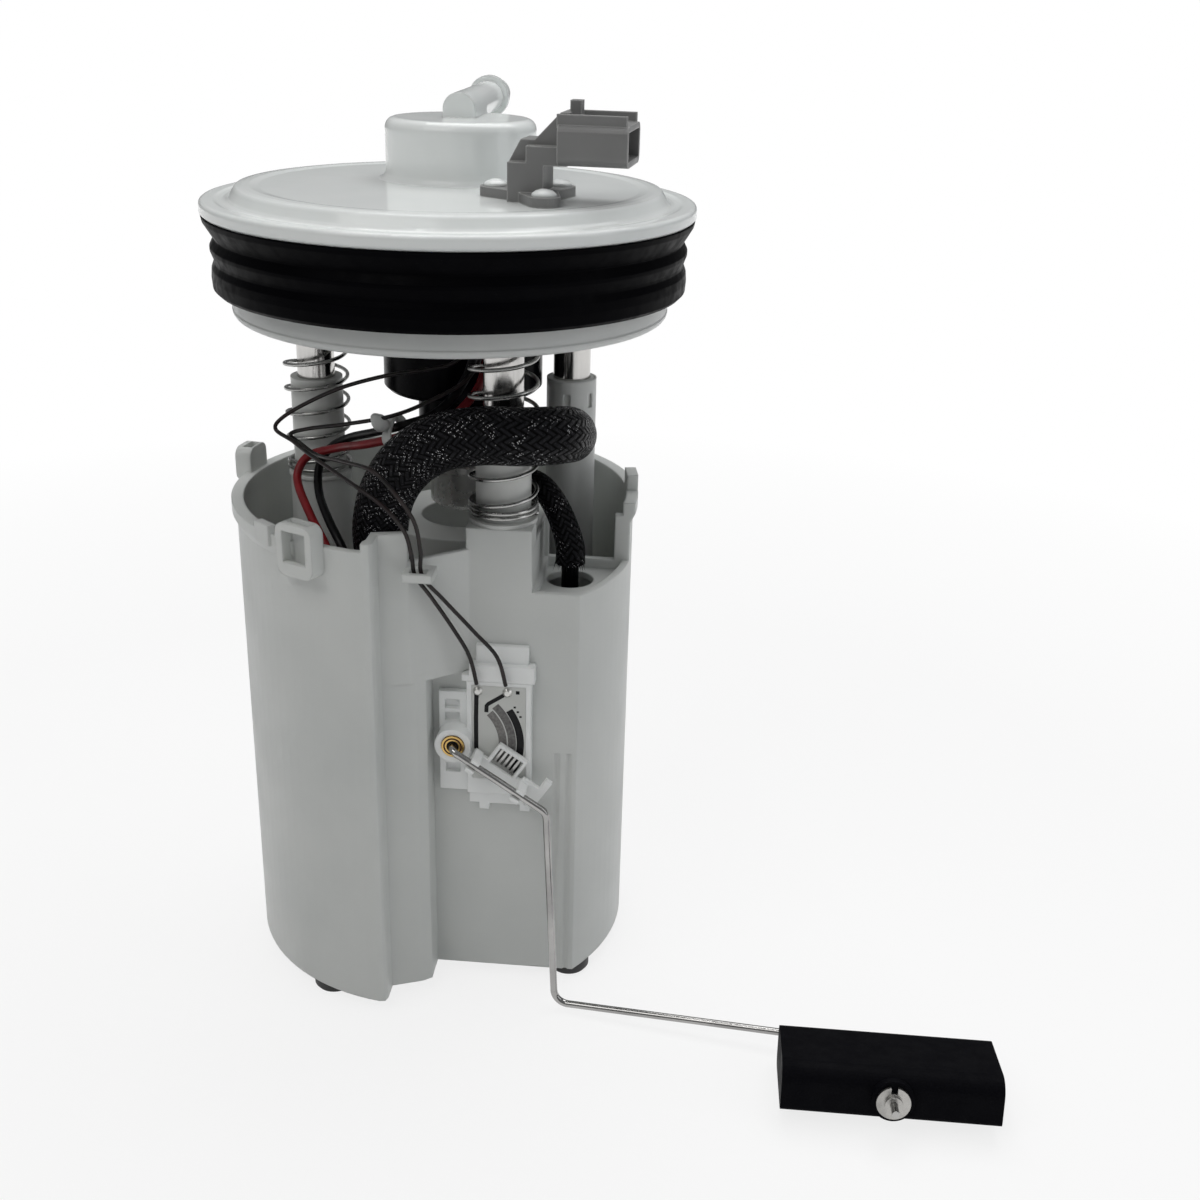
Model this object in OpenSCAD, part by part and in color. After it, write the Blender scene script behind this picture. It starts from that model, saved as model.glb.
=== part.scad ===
// In-tank fuel pump module with a level sender.
// Millimetres, +Z up. The origin lies on the flange axis, in the plane that the feet stand on.
// The sender faces -Y and the float arm reaches out along +X.

/* [Flange] */
// Outer diameter of the flange
flange_d = 140; // [130:1:150]
// Height of the flange's sealing face above the feet
seat_z = 236; // [232:1:246]
// Thickness of the flange rim
rim_t = 4; // [3:0.5:6]
// Diameter of the raised disc
raised_d = 122; // [112:1:126]
// Height of the raised disc above the rim
raised_h = 3.3; // [2:0.1:5]
// Thickness of the flange plate under the raised disc
plate_t = 4; // [3:0.5:5]

/* [Turret and fuel outlet] */
// Distance of the turret behind the flange axis
turret_y = 17; // [10:1:20]
// Outer diameter of the turret
turret_d = 44; // [40:1:48]
// Height of the turret above the raised disc
turret_h = 17.1; // [14:0.1:20]
// Wall of the turret
turret_wall = 2.5; // [2:0.5:4]
// Outside diameter of the fuel outlet tube
outlet_d = 9.5; // [8:0.1:10]
// Bore of the fuel outlet tube
outlet_bore_d = 6; // [4:0.1:7]
// Distance of the outlet's bead behind the flange axis
bead_y = 69; // [60:1:75]
// Diameter of the bead
bead_d = 12.9; // [12:0.1:15]
// Length of the spigot past the bead
spigot_l = 14; // [12:1:20]

/* [Lower cup and seal] */
// Outer diameter of the lower cup
cup_d = 125.2; // [121:0.2:127]
// Depth of the cup's floor below the sealing face
cup_depth = 28.5; // [24:0.5:32]
// Wall of the lower cup
cup_wall = 2.4; // [2:0.1:3.5]
// Floor thickness of the lower cup
cup_floor = 3; // [2.5:0.5:5]
// Largest diameter of the seal's ribs
seal_d = 135.6; // [133:0.2:137]

/* [Connector] */
// Turn of the connector about its column, seen from above
connector_turn = -5; // [-20:1:10]
// Length of the connector shell
shell_l = 18.5; // [16:0.5:22]
// Depth of the connector shell, front to back
shell_w = 21; // [18:0.5:24]
// Height of the connector shell
shell_h = 10.4; // [9:0.1:12]
// Wall of the connector shell
shell_wall = 1.5; // [1:0.1:2]

/* [Guide rods and springs] */
// Diameter of the guide rods
rod_d = 11.5; // [10:0.1:12]
// Length of the rods below the cup floor
rod_l = 84; // [75:1:92]
// Radial running clearance of a rod in its sleeve
rod_clear = 0.06; // [0.03:0.01:0.1]
// Outer diameter of the guide sleeves
sleeve_d = 16; // [15:0.1:16.5]
// Height of the sleeve tops above the feet
sleeve_top_z = 182.5; // [176:0.5:184]
// Outer diameter of the coil springs
spring_d = 20.4; // [19.6:0.1:21]
// Diameter of the spring wire
spring_wire_d = 1.2; // [0.8:0.1:1.5]
// Turns of each spring
spring_turns = 8.5; // [7:0.5:10]

/* [Filter and regulator] */
// Outer diameter of the filter housing
filter_d = 48.8; // [46:0.2:50]
// Height of the filter housing's bottom above the feet
filter_bottom_z = 181; // [178:0.5:184]
// Diameter of the housing's neck
neck_d = 28; // [26:0.5:32]
// Length of the neck
neck_l = 17; // [14:1:19]
// Diameter of the regulator can
can_d = 21.6; // [19:0.1:23]
// Height of the regulator can's bottom above the feet
can_bottom_z = 143; // [140:0.5:150]

/* [Reservoir] */
// Distance of the reservoir's axis left of the flange axis
reservoir_shift = 5.5; // [3:0.5:6]
// Outer diameter of the reservoir
reservoir_d = 120.8; // [118:0.2:124]
// Wall of the reservoir
wall = 2.2; // [1.8:0.1:2.8]
// Height of the rim above the feet
rim_z = 153; // [150:0.5:155]
// Height of the wall in front of the sender's wires
front_rim_z = 147; // [145:0.5:149]
// Height of the wall around the jet pump platform
platform_rim_z = 134.5; // [133:0.5:138]
// Height of the jet pump platform
platform_z = 131.5; // [128:0.5:132]
// Height of the feet
foot_h = 4.5; // [3:0.5:6]
// Diameter of the feet
foot_d = 13; // [10:1:14]
// Distance of the sender's flat in front of the flange axis
sender_flat_y = 36.6; // [36:0.1:38]

/* [Level sender] */
// Height of the sender's pivot above the feet
hub_z = 87.2; // [85:0.2:90]
// Distance of the pivot right of the flange axis
hub_x = 6.3; // [6:0.1:8]
// Diameter of the arm wire
arm_wire_d = 2.2; // [1.8:0.1:2.4]
// Radial running clearance of the arm wire in its bush
bush_clear = 0.06; // [0.03:0.01:0.1]
// Outer diameter of the pivot bush
bush_d = 6.8; // [6:0.1:7.4]
// Length of the float
float_l = 61.8; // [55:0.2:66]
// Depth of the float, front to back
float_w = 26; // [22:0.5:32]
// Thickness of the float
float_t = 13.5; // [12:0.5:16]
// Tilt of the float at rest
float_tilt = 10; // [5:1:12]

/* [Electric pump] */
// Diameter of the pump case
pump_d = 38; // [36:0.5:39]
// Length of the pump case
pump_l = 70; // [64:1:74]
// Wall of the pump case
pump_wall = 1.2; // [1:0.1:1.6]

/* [Hoses and wires] */
// Diameter of the large braided hose
hose_d = 16; // [15:0.2:16.4]
// Diameter of a pump wire
pump_wire_d = 2.9; // [2.4:0.1:3]
// Diameter of a sender wire
sender_wire_d = 1.2; // [1:0.1:1.6]

/* [Hidden] */

// Gap between curved faces of pieces that sit in one another
fit_gap = 0.15;
// Gap between pieces that move past each other
move_gap = 0.3;
// Facets of a full round
round_fn = 96;
fine_fn = 48;
// Small overlap that makes a union or a cut complete
eps = 0.01;
// Bends of the arm wire are this much thicker, and its straights run this far into them
bend_swell = 0.03;
bend_lap = 0.12;

// Heights derived from the flange
rim_top_z = seat_z + rim_t;
raised_top_z = rim_top_z + raised_h;
turret_top_z = raised_top_z + turret_h;
outlet_z = turret_top_z + 2.3;
cup_bottom_z = seat_z - cup_depth;
seal_t = 5.05;
seal_gap = 0.15;
seal_h = 20.8;
land_r = min(cup_d / 2, seal_d / 2 - seal_t - seal_gap);
cup_inner_r = land_r - cup_wall;
bead_w = 3;
spigot_end_y = bead_y + bead_w + spigot_l;
outlet_front_y = turret_y - 3;

// Cup floor height that the rods and the routes of the hoses are drawn for
usual_cup_z = 207.5;
rod_low_z = usual_cup_z - rod_l;

// Plan places of the rods, as [x, y]
tower_d = sleeve_d + 3;
rod_left = [-46, 15];
rod_front = [19, tower_d / 2 + 0.1 - sender_flat_y];
rod_rear = [33.2, 22];
// Place of the wire passage in the lower cup
wire_hole = [10.5, -15];
wire_hole_d = 10;

// Towers that carry the sleeves
tower_left_z = rim_z - 2;
tower_front_z = rim_z + 0.5;
tower_rear_z = sleeve_top_z + 1.5;
tower_wall = 2;
tower_bore_d = rod_d + 2.6;
clip_t = 1.1;
clip_up = 3.1;
sleeve_low_z = rod_low_z + clip_up + clip_t + move_gap;
sleeve_flange_t = 1.2;
rear_tower_d = rod_d + 4;
spring_top_z = cup_bottom_z - 0.05;
spring_foot = sleeve_flange_t + move_gap;

// Reservoir plan: the steps of the recess, seen from above
reservoir_r = reservoir_d / 2;
reservoir_floor_z = foot_h;
floor_t = 2.5;
lobe_x = -12.6;
step_front_y = -51.6;
step_back_y = -47.4;
recess_x = -1;
corner_r = 2.5;
overhang_z = 109;
lip_h = 7;
lip_out = 1.4;
raised_rim_z = rim_z + 2.5;
notch_x = -4.8;
ramp_end_x = 10.5;
platform_x0 = 28.6;
platform_y1 = -4;
high_wall_x = 50;
platform_t = 2.2;
jet_hole = [37.6, -16.4];
jet_hole_d = 14;
jet_tube_d = 5.2;

// Regulator well in the reservoir
well_d = 52;
well_bore_d = can_d + 6;
well_top_z = rim_z - 14;
well_h = 22;
well_floor_t = 2;

// Side port of the regulator, seen from above
port_dir = -43.5;
port_z = 151;

// Pump, standing left of the middle of the reservoir
pump_x = -15;
pump_y = -14;
pump_bottom_z = 24;
cap_t = 8;
outlet_cap_t = 9;
hose_start = [-11, -16, 108.2];
terminal_x = -27;
terminal_dy = 3;
shaft_d = 3;
impeller_d = pump_d - 2 * pump_wall - 1.2;

// Sender stack, measured forward from the flat
bracket_t = 3;
card_t = 0.8;
card_w = 16;
card_h = 31;
card_x0 = hub_x + 5.2;
card_top_z = hub_z + 18.6;
hub_d = 11;
hub_l = 7.6;
lever_y = -sender_flat_y - bracket_t - card_t - 1;
lever_t = 1.8;
arm_plane_y = -47;

// Float arm corners
arm_bend_1 = [34.7, arm_plane_y, 68.2];
arm_bend_2 = [38.6, -51, 2.4];
float_x = 138.45;
float_gap_z = 0.8;
float_back_y = -69.2;
float_boss_d = 12;
float_boss_h = 2.2;
nut_d = 9.6;
nut_t = 1;
float_bore_clear = 0.1;

// Colours
natural = [0.84, 0.86, 0.84];
white = [0.93, 0.94, 0.93];
black = [0.07, 0.07, 0.08];
dark_grey = [0.34, 0.34, 0.35];
steel = [0.72, 0.72, 0.73];
zinc = [0.78, 0.78, 0.76];
brass = [0.8, 0.65, 0.3];

// Points on an arc, from angle a to angle b
function arc(c, r, a, b, n) = [
    for (i = [0 : n]) let (t = a + (b - a) * i / n) [c[0] + r * cos(t), c[1] + r * sin(t)]
];

// A point on the smooth curve through p0, p1, p2 and p3, between p1 and p2
function spline_point(p0, p1, p2, p3, t) = 0.5 * (
    2 * p1 + (p2 - p0) * t + (2 * p0 - 5 * p1 + 4 * p2 - p3) * t * t
    + (3 * p1 - p0 - 3 * p2 + p3) * t * t * t
);

// Smooth curve through a list of points, n steps between neighbours
function smooth(p, n) = concat(
    [for (i = [0 : len(p) - 2], k = [0 : n - 1])
        spline_point(p[max(i - 1, 0)], p[i], p[i + 1], p[min(i + 2, len(p) - 1)], k / n)],
    [p[len(p) - 1]]
);

function unit(v) = v / norm(v);

function tangent(p, i) = unit(p[min(i + 1, len(p) - 1)] - p[max(i - 1, 0)]);

// Side vectors that turn as little as possible along the curve
function sides(p, i = 0, last = undef, out = []) =
    i == len(p) ? out :
    let (
        t = tangent(p, i),
        start = abs(t[2]) < 0.9 ? [0, 0, 1] : [1, 0, 0],
        ref = is_undef(last) ? start : last,
        s = unit(ref - t * (ref * t))
    )
    sides(p, i + 1, s, concat(out, [s]));

// Faces of a tube of n rings with m points each
function tube_faces(n, m) = concat(
    [for (i = [0 : n - 2], k = [0 : m - 1]) [i * m + k, (i + 1) * m + k, i * m + (k + 1) % m]],
    [for (i = [0 : n - 2], k = [0 : m - 1])
        [i * m + (k + 1) % m, (i + 1) * m + k, (i + 1) * m + (k + 1) % m]],
    [[for (k = [0 : m - 1]) k]],
    [[for (k = [m - 1 : -1 : 0]) (n - 1) * m + k]]
);

// Round cord swept along a list of points
module cord(p, d, m) {
    s = sides(p);
    points = [
        for (i = [0 : len(p) - 1], k = [0 : m - 1])
            let (t = tangent(p, i), b = cross(t, s[i]), a = 360 * k / m)
            p[i] + d / 2 * (cos(a) * s[i] + sin(a) * b)
    ];
    polyhedron(points = points, faces = tube_faces(len(p), m));
}

// Upright coil spring with closed end turns
module coil(d, wire_d, turns, z0, z1) {
    r = (d - wire_d) / 2;
    per_turn = 14;
    m = 8;
    n = round(turns * per_turn);
    end_pitch = wire_d * 1.08;
    rise = z1 - z0 - wire_d;
    mid_pitch = (rise - 2 * end_pitch) / (turns - 2);
    function height(t) = t < 1 ? end_pitch * t :
        t > turns - 1 ? rise - end_pitch * (turns - t) : end_pitch + mid_pitch * (t - 1);
    points = [
        for (i = [0 : n], k = [0 : m - 1])
            let (
                turn = turns * i / n,
                a = 360 * turn,
                b = 360 * k / m,
                out = r + wire_d / 2 * cos(b)
            )
            [out * cos(a), out * sin(a), z0 + wire_d / 2 + height(turn) + wire_d / 2 * sin(b)]
    ];
    polyhedron(points = points, faces = tube_faces(n + 1, m));
}

module tube(d, bore, h, fn = fine_fn) {
    difference() {
        cylinder(d = d, h = h, $fn = fn);
        translate([0, 0, -eps]) cylinder(d = bore, h = h + 2 * eps, $fn = fn);
    }
}

// Cylinder along Y, from y0 to y1
module rod_y(x, z, d, y0, y1, fn = fine_fn) {
    translate([x, y0, z]) rotate([-90, 0, 0]) cylinder(d = d, h = y1 - y0, $fn = fn);
}

module block(x0, x1, y0, y1, z0, z1) {
    translate([x0, y0, z0]) cube([x1 - x0, y1 - y0, z1 - z0]);
}

module at(p) {
    translate([p[0], p[1], 0]) children();
}

// Plan outline of the reservoir, drawn inset by t. The front has a lobe, a step and the sender's flat.
module reservoir_outline(t, upper) {
    r = reservoir_r - t;
    x1 = lobe_x - t;
    x2 = recess_x - t;
    y_flat = -sender_flat_y + t;
    lobe_y = -sqrt(r * r - pow(x1 + corner_r + reservoir_shift, 2));
    end_x = sqrt(r * r - y_flat * y_flat) - reservoir_shift;
    c = [-reservoir_shift, 0];
    start = atan2(y_flat, end_x + reservoir_shift);
    stop = -360 + atan2(lobe_y, x1 - corner_r + reservoir_shift) + 360;
    front = upper
        ? [[notch_x, step_front_y + 2.6 + t], [ramp_end_x, y_flat]]
        : [[x2 - corner_r, step_back_y - 0.6 + t], [x2, step_back_y + 1.4 + t], [x2, y_flat]];
    polygon(concat(
        arc(c, r, start, 360 + stop, 84),
        [[x1 - 0.6, lobe_y + 0.9], [x1, lobe_y + 2.6], [x1, step_front_y + t]],
        front
    ));
}

module reservoir_ring(z0, z1, upper) {
    translate([0, 0, z0]) linear_extrude(z1 - z0) difference() {
        reservoir_outline(0, upper);
        reservoir_outline(wall, upper);
    }
}

// Loop that a rod of the other half snaps into, standing on the reservoir's rim
module rim_tab(angle, w, z0, z1, out) {
    loop_t = 1.8;
    bar = 2.4;
    corner = 3;
    reach = out + loop_t + 0.6;
    translate([-reservoir_shift, 0, 0]) rotate([0, 0, angle]) translate([reservoir_r - 0.6, 0, 0])
        difference() {
            // Face of the loop with rounded corners
            intersection() {
                block(0, reach, -w / 2, w / 2, z0, z1);
                translate([-1, 0, 0]) rotate([90, 0, 90]) linear_extrude(reach + 2)
                    polygon(concat(
                        arc([w / 2 - corner, z1 - corner], corner, 0, 90, 6),
                        arc([corner - w / 2, z1 - corner], corner, 90, 180, 6),
                        arc([corner - w / 2, z0 + corner], corner, 180, 270, 6),
                        arc([w / 2 - corner, z0 + corner], corner, 270, 360, 6)
                    ));
            }
            block(0.6 - eps, 0.6 + out, bar - w / 2, w / 2 - bar, z0 - 1, z1 + 1);
            block(0.6, 20, bar - w / 2, w / 2 - bar, z0 + bar + 1.6, z1 - bar);
        }
}

module tower(p, d, z) {
    at(p) translate([0, 0, reservoir_floor_z]) cylinder(d = d, h = z - reservoir_floor_z, $fn = fine_fn);
}

module tower_bore(p, d, z0, z1) {
    at(p) translate([0, 0, z0]) cylinder(d = d, h = z1 - z0, $fn = fine_fn);
}

module rim_lip() {
    // A thicker band round the rim, outside the wall, except across the recess
    translate([-reservoir_shift, 0, 0]) rotate([0, 0, -28]) rotate_extrude(angle = 268, $fn = round_fn)
        polygon([
            [reservoir_r - 0.3, rim_z - lip_h], [reservoir_r + lip_out, rim_z - lip_h / 2],
            [reservoir_r + lip_out, rim_z], [reservoir_r - 0.3, rim_z]
        ]);
}

module reservoir_canister() {
    clip_z = front_rim_z - 2.8;
    bore_floor = reservoir_floor_z + floor_t;
    color(natural) difference() {
        union() {
            translate([0, 0, reservoir_floor_z]) linear_extrude(floor_t) reservoir_outline(0, false);
            reservoir_ring(reservoir_floor_z, overhang_z + wall, false);
            // Shelf that closes the wall over the recess
            translate([0, 0, overhang_z]) linear_extrude(wall) difference() {
                reservoir_outline(0, true);
                reservoir_outline(wall, false);
            }
            reservoir_ring(overhang_z, front_rim_z, true);
            difference() {
                reservoir_ring(front_rim_z - eps, rim_z, true);
                block(notch_x, 100, -100, -30, front_rim_z - 1, rim_z + 1);
            }
            intersection() {
                reservoir_ring(front_rim_z, raised_rim_z, true);
                block(-15.5, notch_x, -70, -40, front_rim_z, raised_rim_z);
            }
            rim_lip();
            tower(rod_left, tower_d, tower_left_z);
            tower(rod_front, tower_d, tower_front_z);
            // The front tower runs out into the sender's wall
            block(rod_front[0] - tower_d / 2, rod_front[0] + tower_d / 2, -sender_flat_y, rod_front[1],
                overhang_z, tower_front_z);
            tower(rod_rear, rear_tower_d, tower_rear_z);
            // Platform over the jet pump
            translate([0, 0, platform_z - platform_t]) linear_extrude(platform_t) intersection() {
                reservoir_outline(0.5, true);
                translate([platform_x0 - 1, -70]) square([60, 70 + platform_y1]);
            }
            // Wall behind the platform
            for (x = [platform_x0 - 1, high_wall_x]) translate([0, 0, platform_z - platform_t])
                linear_extrude((x == high_wall_x ? rim_z - 4 : platform_rim_z) - platform_z + platform_t)
                    intersection() {
                        reservoir_outline(0.5, true);
                        translate([x, platform_y1 - wall]) square([60, wall]);
                    }
            translate([0, 0, platform_z - platform_t]) linear_extrude(front_rim_z - platform_z + platform_t)
                intersection() {
                    reservoir_outline(0.5, true);
                    translate([platform_x0 - 1, -sender_flat_y + 1])
                        square([wall, sender_flat_y + platform_y1 - 1]);
                }
            // Regulator well, tied to the rear tower and the back wall
            translate([0, turret_y, well_top_z - well_h]) cylinder(d = well_d, h = well_h, $fn = fine_fn);
            block(rod_rear[0] - 10, rod_rear[0], rod_rear[1] - 2, rod_rear[1] + 2, well_top_z - well_h,
                well_top_z);
            for (x = [-12, 12])
                block(x - 1.2, x + 1.2, turret_y + well_d / 2 - 4, 57, well_top_z - well_h, well_top_z);
            // Hook that the sender's wires run through
            difference() {
                block(notch_x - 0.6, notch_x + 7.8, step_front_y - 3, step_back_y + 0.9, clip_z - 1.2,
                    clip_z + 1.2);
                block(notch_x + 1.2, notch_x + 6, step_front_y - 1.4, step_front_y + 2.2, clip_z - 3,
                    clip_z + 3);
            }
            rim_tab(-116.5, 13, rim_z - 9, rim_z + 6.5, 2.6);
            rim_tab(170.5, 11, rim_z - 3.5, rim_z + 7.5, 2.8);
            // Plain tab at the right
            translate([-reservoir_shift, 0, 0]) rotate([0, 0, 9.5])
                block(reservoir_r - wall, reservoir_r + lip_out - 0.2, -4, 4, rim_z - 2, rim_z + 5);
            // Snap rib beside the front tab
            translate([-reservoir_shift, 0, 0]) rotate([0, 0, -131])
                block(reservoir_r - 0.5, reservoir_r + 2.2,
                -3.4, 3.4, rim_z - 3.5, rim_z + 2.5);
        }
        // The wall round the platform is lower
        block(platform_x0, 100, -100, platform_y1 - wall, platform_rim_z, raised_rim_z + 10);
        // Bores of the towers, with a seat for each sleeve at the top
        for (p = [rod_left, rod_front, rod_rear]) tower_bore(p, tower_bore_d, bore_floor, tower_rear_z + 1);
        tower_bore(rod_left, sleeve_d + 2 * fit_gap, sleeve_low_z - eps, tower_left_z + eps);
        tower_bore(rod_front, sleeve_d + 2 * fit_gap, sleeve_low_z - eps, tower_front_z + eps);
        translate([0, turret_y, well_top_z - well_h + well_floor_t])
            cylinder(d = well_bore_d, h = well_h, $fn = fine_fn);
        // Way for the regulator's side port and its hose
        translate([0, turret_y, 0]) rotate([0, 0, port_dir]) block(8, well_d / 2 + 2, -4.8, 4.8,
            well_top_z - well_h + 2 * well_floor_t, well_top_z + 1);
        // Windows for the snap fingers of the rear sleeve
        for (a = [-95, -35]) at(rod_rear) rotate([0, 0, a])
            block(4, 12, -0.9, 0.9, tower_rear_z - 8.5, tower_rear_z - 4);
        tower_bore(jet_hole, jet_hole_d, platform_z - platform_t - 1, platform_z + 1);
        // Filling hole of the inlet valve, ringed by small ports
        tower_bore([pump_x + 22, 30], 5, 0, 20);
        for (a = [0 : 60 : 300]) tower_bore([pump_x + 22 + 6.5 * cos(a), 30 + 6.5 * sin(a)], 4, 0, 20);
        // Shallow flutes at the right of the sender's flat
        for (x = [36.6, 40.2]) translate([x, -sender_flat_y - 0.5, reservoir_floor_z - 1])
            cylinder(d = 2, h = hub_z - 8, $fn = 24);
    }
}

function foot_places() = [[-32.5, -45.5], [40.6, -27.5], [-11, 51.5]];

module reservoir_feet() {
    color(black) for (p = foot_places()) at(p) union() {
        cylinder(d = foot_d - 1.5, h = foot_h, $fn = fine_fn);
        translate([0, 0, 1]) cylinder(d = foot_d, h = foot_h - 1, $fn = fine_fn);
    }
}

module inlet_valve() {
    stem = 4.6;
    translate([pump_x + 22, 30, 0]) color(black) union() {
        translate([0, 0, reservoir_floor_z + floor_t]) rotate_extrude($fn = fine_fn)
            polygon([[0, 0], [9.5, 0], [9.5, 0.6], [3, 1.6], [0, 1.6]]);
        translate([0, 0, 1.5])
            cylinder(d = stem, h = reservoir_floor_z + floor_t - 1.5 + eps, $fn = fine_fn);
    }
}

// Sleeve that a rod slides in. It stands in its tower and carries the spring's foot.
module guide_sleeve(p, z_seat) {
    bore = rod_d + 2 * rod_clear;
    color(white) at(p) difference() {
        union() {
            translate([0, 0, sleeve_low_z])
                cylinder(d = sleeve_d, h = sleeve_top_z - sleeve_low_z, $fn = fine_fn);
            translate([0, 0, z_seat]) cylinder(d = spring_d - 0.6, h = sleeve_flange_t, $fn = fine_fn);
        }
        translate([0, 0, sleeve_low_z - 1])
            cylinder(d = bore, h = sleeve_top_z - sleeve_low_z + 2, $fn = fine_fn);
    }
}

module guide_sleeve_left() { guide_sleeve(rod_left, tower_left_z); }

module guide_sleeve_front() { guide_sleeve(rod_front, tower_front_z); }

// Bush inside the tall rear tower, with two snap fingers that show in the tower's windows
module guide_sleeve_rear() {
    bush_l = tower_rear_z - sleeve_low_z;
    color(white) at(rod_rear) difference() {
        translate([0, 0, tower_rear_z - bush_l])
            cylinder(d = tower_bore_d - 2 * fit_gap, h = bush_l, $fn = fine_fn);
        translate([0, 0, tower_rear_z - bush_l - 1])
            cylinder(d = rod_d + 2 * rod_clear, h = bush_l + 2, $fn = fine_fn);
    }
}

module pump_cradle() {
    // Cup that holds the pump's foot, on three legs
    base_z = reservoir_floor_z + floor_t;
    color(natural) translate([pump_x, pump_y, 0]) difference() {
        union() {
            translate([0, 0, base_z + 7]) cylinder(d = pump_d + 5, h = 30, $fn = round_fn);
            for (a = [60, 180, 300]) rotate([0, 0, a])
                block(14.5, pump_d / 2 + 2.5, -2.5, 2.5, base_z, base_z + 8);
        }
        translate([0, 0, pump_bottom_z - cap_t])
            cylinder(d = pump_d + 2 * fit_gap, h = pump_l, $fn = round_fn);
        translate([0, 0, base_z - 1]) cylinder(d = 28, h = 20, $fn = fine_fn);
    }
}

module pump_case() {
    color(steel) translate([pump_x, pump_y, pump_bottom_z])
        tube(pump_d, pump_d - 2 * pump_wall, pump_l, round_fn);
}

module pump_inlet_cap() {
    plug = 4;
    color(dark_grey) translate([pump_x, pump_y, 0]) difference() {
        union() {
            translate([0, 0, pump_bottom_z - cap_t]) cylinder(d = pump_d, h = cap_t, $fn = round_fn);
            translate([0, 0, pump_bottom_z - eps])
                cylinder(d = pump_d - 2 * pump_wall - 2 * fit_gap, h = plug, $fn = round_fn);
        }
        // Bearing of the shaft and the suction port
        translate([0, 0, pump_bottom_z - 4]) cylinder(d = shaft_d + 0.1, h = 12, $fn = fine_fn);
        translate([9, 0, pump_bottom_z - cap_t - 1]) cylinder(d = 7, h = 20, $fn = fine_fn);
    }
}

module pump_outlet_cap() {
    top_z = pump_bottom_z + pump_l;
    plug = 5;
    barb_x = hose_start[0] - pump_x;
    barb_y = hose_start[1] - pump_y;
    color(dark_grey) translate([pump_x, pump_y, 0]) difference() {
        union() {
            translate([0, 0, top_z]) cylinder(d = pump_d, h = outlet_cap_t, $fn = round_fn);
            translate([0, 0, top_z - plug])
                cylinder(d = pump_d - 2 * pump_wall - 2 * fit_gap, h = plug + eps, $fn = round_fn);
            translate([barb_x, barb_y, top_z + outlet_cap_t - eps])
                cylinder(d = 9, h = hose_start[2] - 0.2 - top_z - outlet_cap_t, $fn = fine_fn);
        }
        translate([0, 0, top_z - plug - 1]) cylinder(d = shaft_d + 0.1, h = plug, $fn = fine_fn);
        translate([barb_x, barb_y, top_z - plug - 1])
            cylinder(d = 4, h = hose_start[2] + 2 + plug - top_z, $fn = fine_fn);
    }
}

module pump_terminals() {
    z = pump_bottom_z + pump_l + outlet_cap_t;
    color(brass) for (s = [-1, 1]) translate([terminal_x, pump_y + s * terminal_dy, z])
        cylinder(d = 2.4, h = 3.6, $fn = 24);
}

module pump_armature() {
    // Shaft, winding stack and commutator
    z0 = pump_bottom_z - 3;
    z1 = pump_bottom_z + pump_l - 2.5;
    stack_up = pump_l - 48;
    stack_l = pump_l - 40;
    commutator_d = pump_d - 24;
    commutator_l = 8;
    color(steel) translate([pump_x, pump_y, 0]) union() {
        translate([0, 0, z0]) cylinder(d = shaft_d, h = z1 - z0, $fn = fine_fn);
        translate([0, 0, z0 + stack_up]) cylinder(d = pump_d - 12, h = stack_l, $fn = round_fn);
        translate([0, 0, z0 + stack_up + stack_l])
            cylinder(d = commutator_d, h = commutator_l, $fn = fine_fn);
    }
}

module pump_impeller() {
    // Disc with vane slots round its edge
    vanes = 20;
    z = pump_bottom_z + 5;
    color(dark_grey) translate([pump_x, pump_y, z]) difference() {
        cylinder(d = impeller_d, h = 4, $fn = round_fn);
        translate([0, 0, -1]) cylinder(d = shaft_d + 2 * fit_gap, h = 6, $fn = fine_fn);
        for (i = [0 : vanes - 1]) rotate([0, 0, 360 * i / vanes])
            block(impeller_d / 2 - 2.5, impeller_d / 2 + 1, -1, 1, -1, 5);
    }
}

module strainer_sock() {
    // Flat suction filter under the pump
    z = reservoir_floor_z + floor_t + 0.6;
    color(white) translate([pump_x + 9, pump_y, z]) union() {
        hull() for (x = [-12, 5], y = [-7, 7]) translate([x, y, 0]) cylinder(r = 3, h = 4, $fn = 24);
        cylinder(d = 6.6, h = pump_bottom_z - cap_t - z - 0.1, $fn = fine_fn);
    }
}

module jet_pump() {
    base_z = reservoir_floor_z + floor_t;
    color(dark_grey) translate([jet_hole[0], jet_hole[1], 0]) difference() {
        union() {
            translate([0, 0, base_z]) cylinder(d = 14, h = 6, $fn = fine_fn);
            translate([0, 0, base_z]) cylinder(d = 8, h = 20, $fn = fine_fn);
            translate([-3, 0, base_z]) cube([6, 22, 6]);
        }
        translate([0, 0, base_z + 8]) cylinder(d = jet_tube_d + 2 * fit_gap, h = 20, $fn = fine_fn);
        translate([0, -1, base_z + 3]) rotate([-90, 0, 0]) cylinder(d = 3, h = 24, $fn = fine_fn);
    }
}

module jet_tube() {
    // Bare tube from the small hose down to the jet pump
    z0 = reservoir_floor_z + floor_t + 8.1;
    color(black) translate([jet_hole[0], jet_hole[1], z0])
        cylinder(d = jet_tube_d, h = small_hose_end[2] - move_gap - z0, $fn = fine_fn);
}

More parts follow.
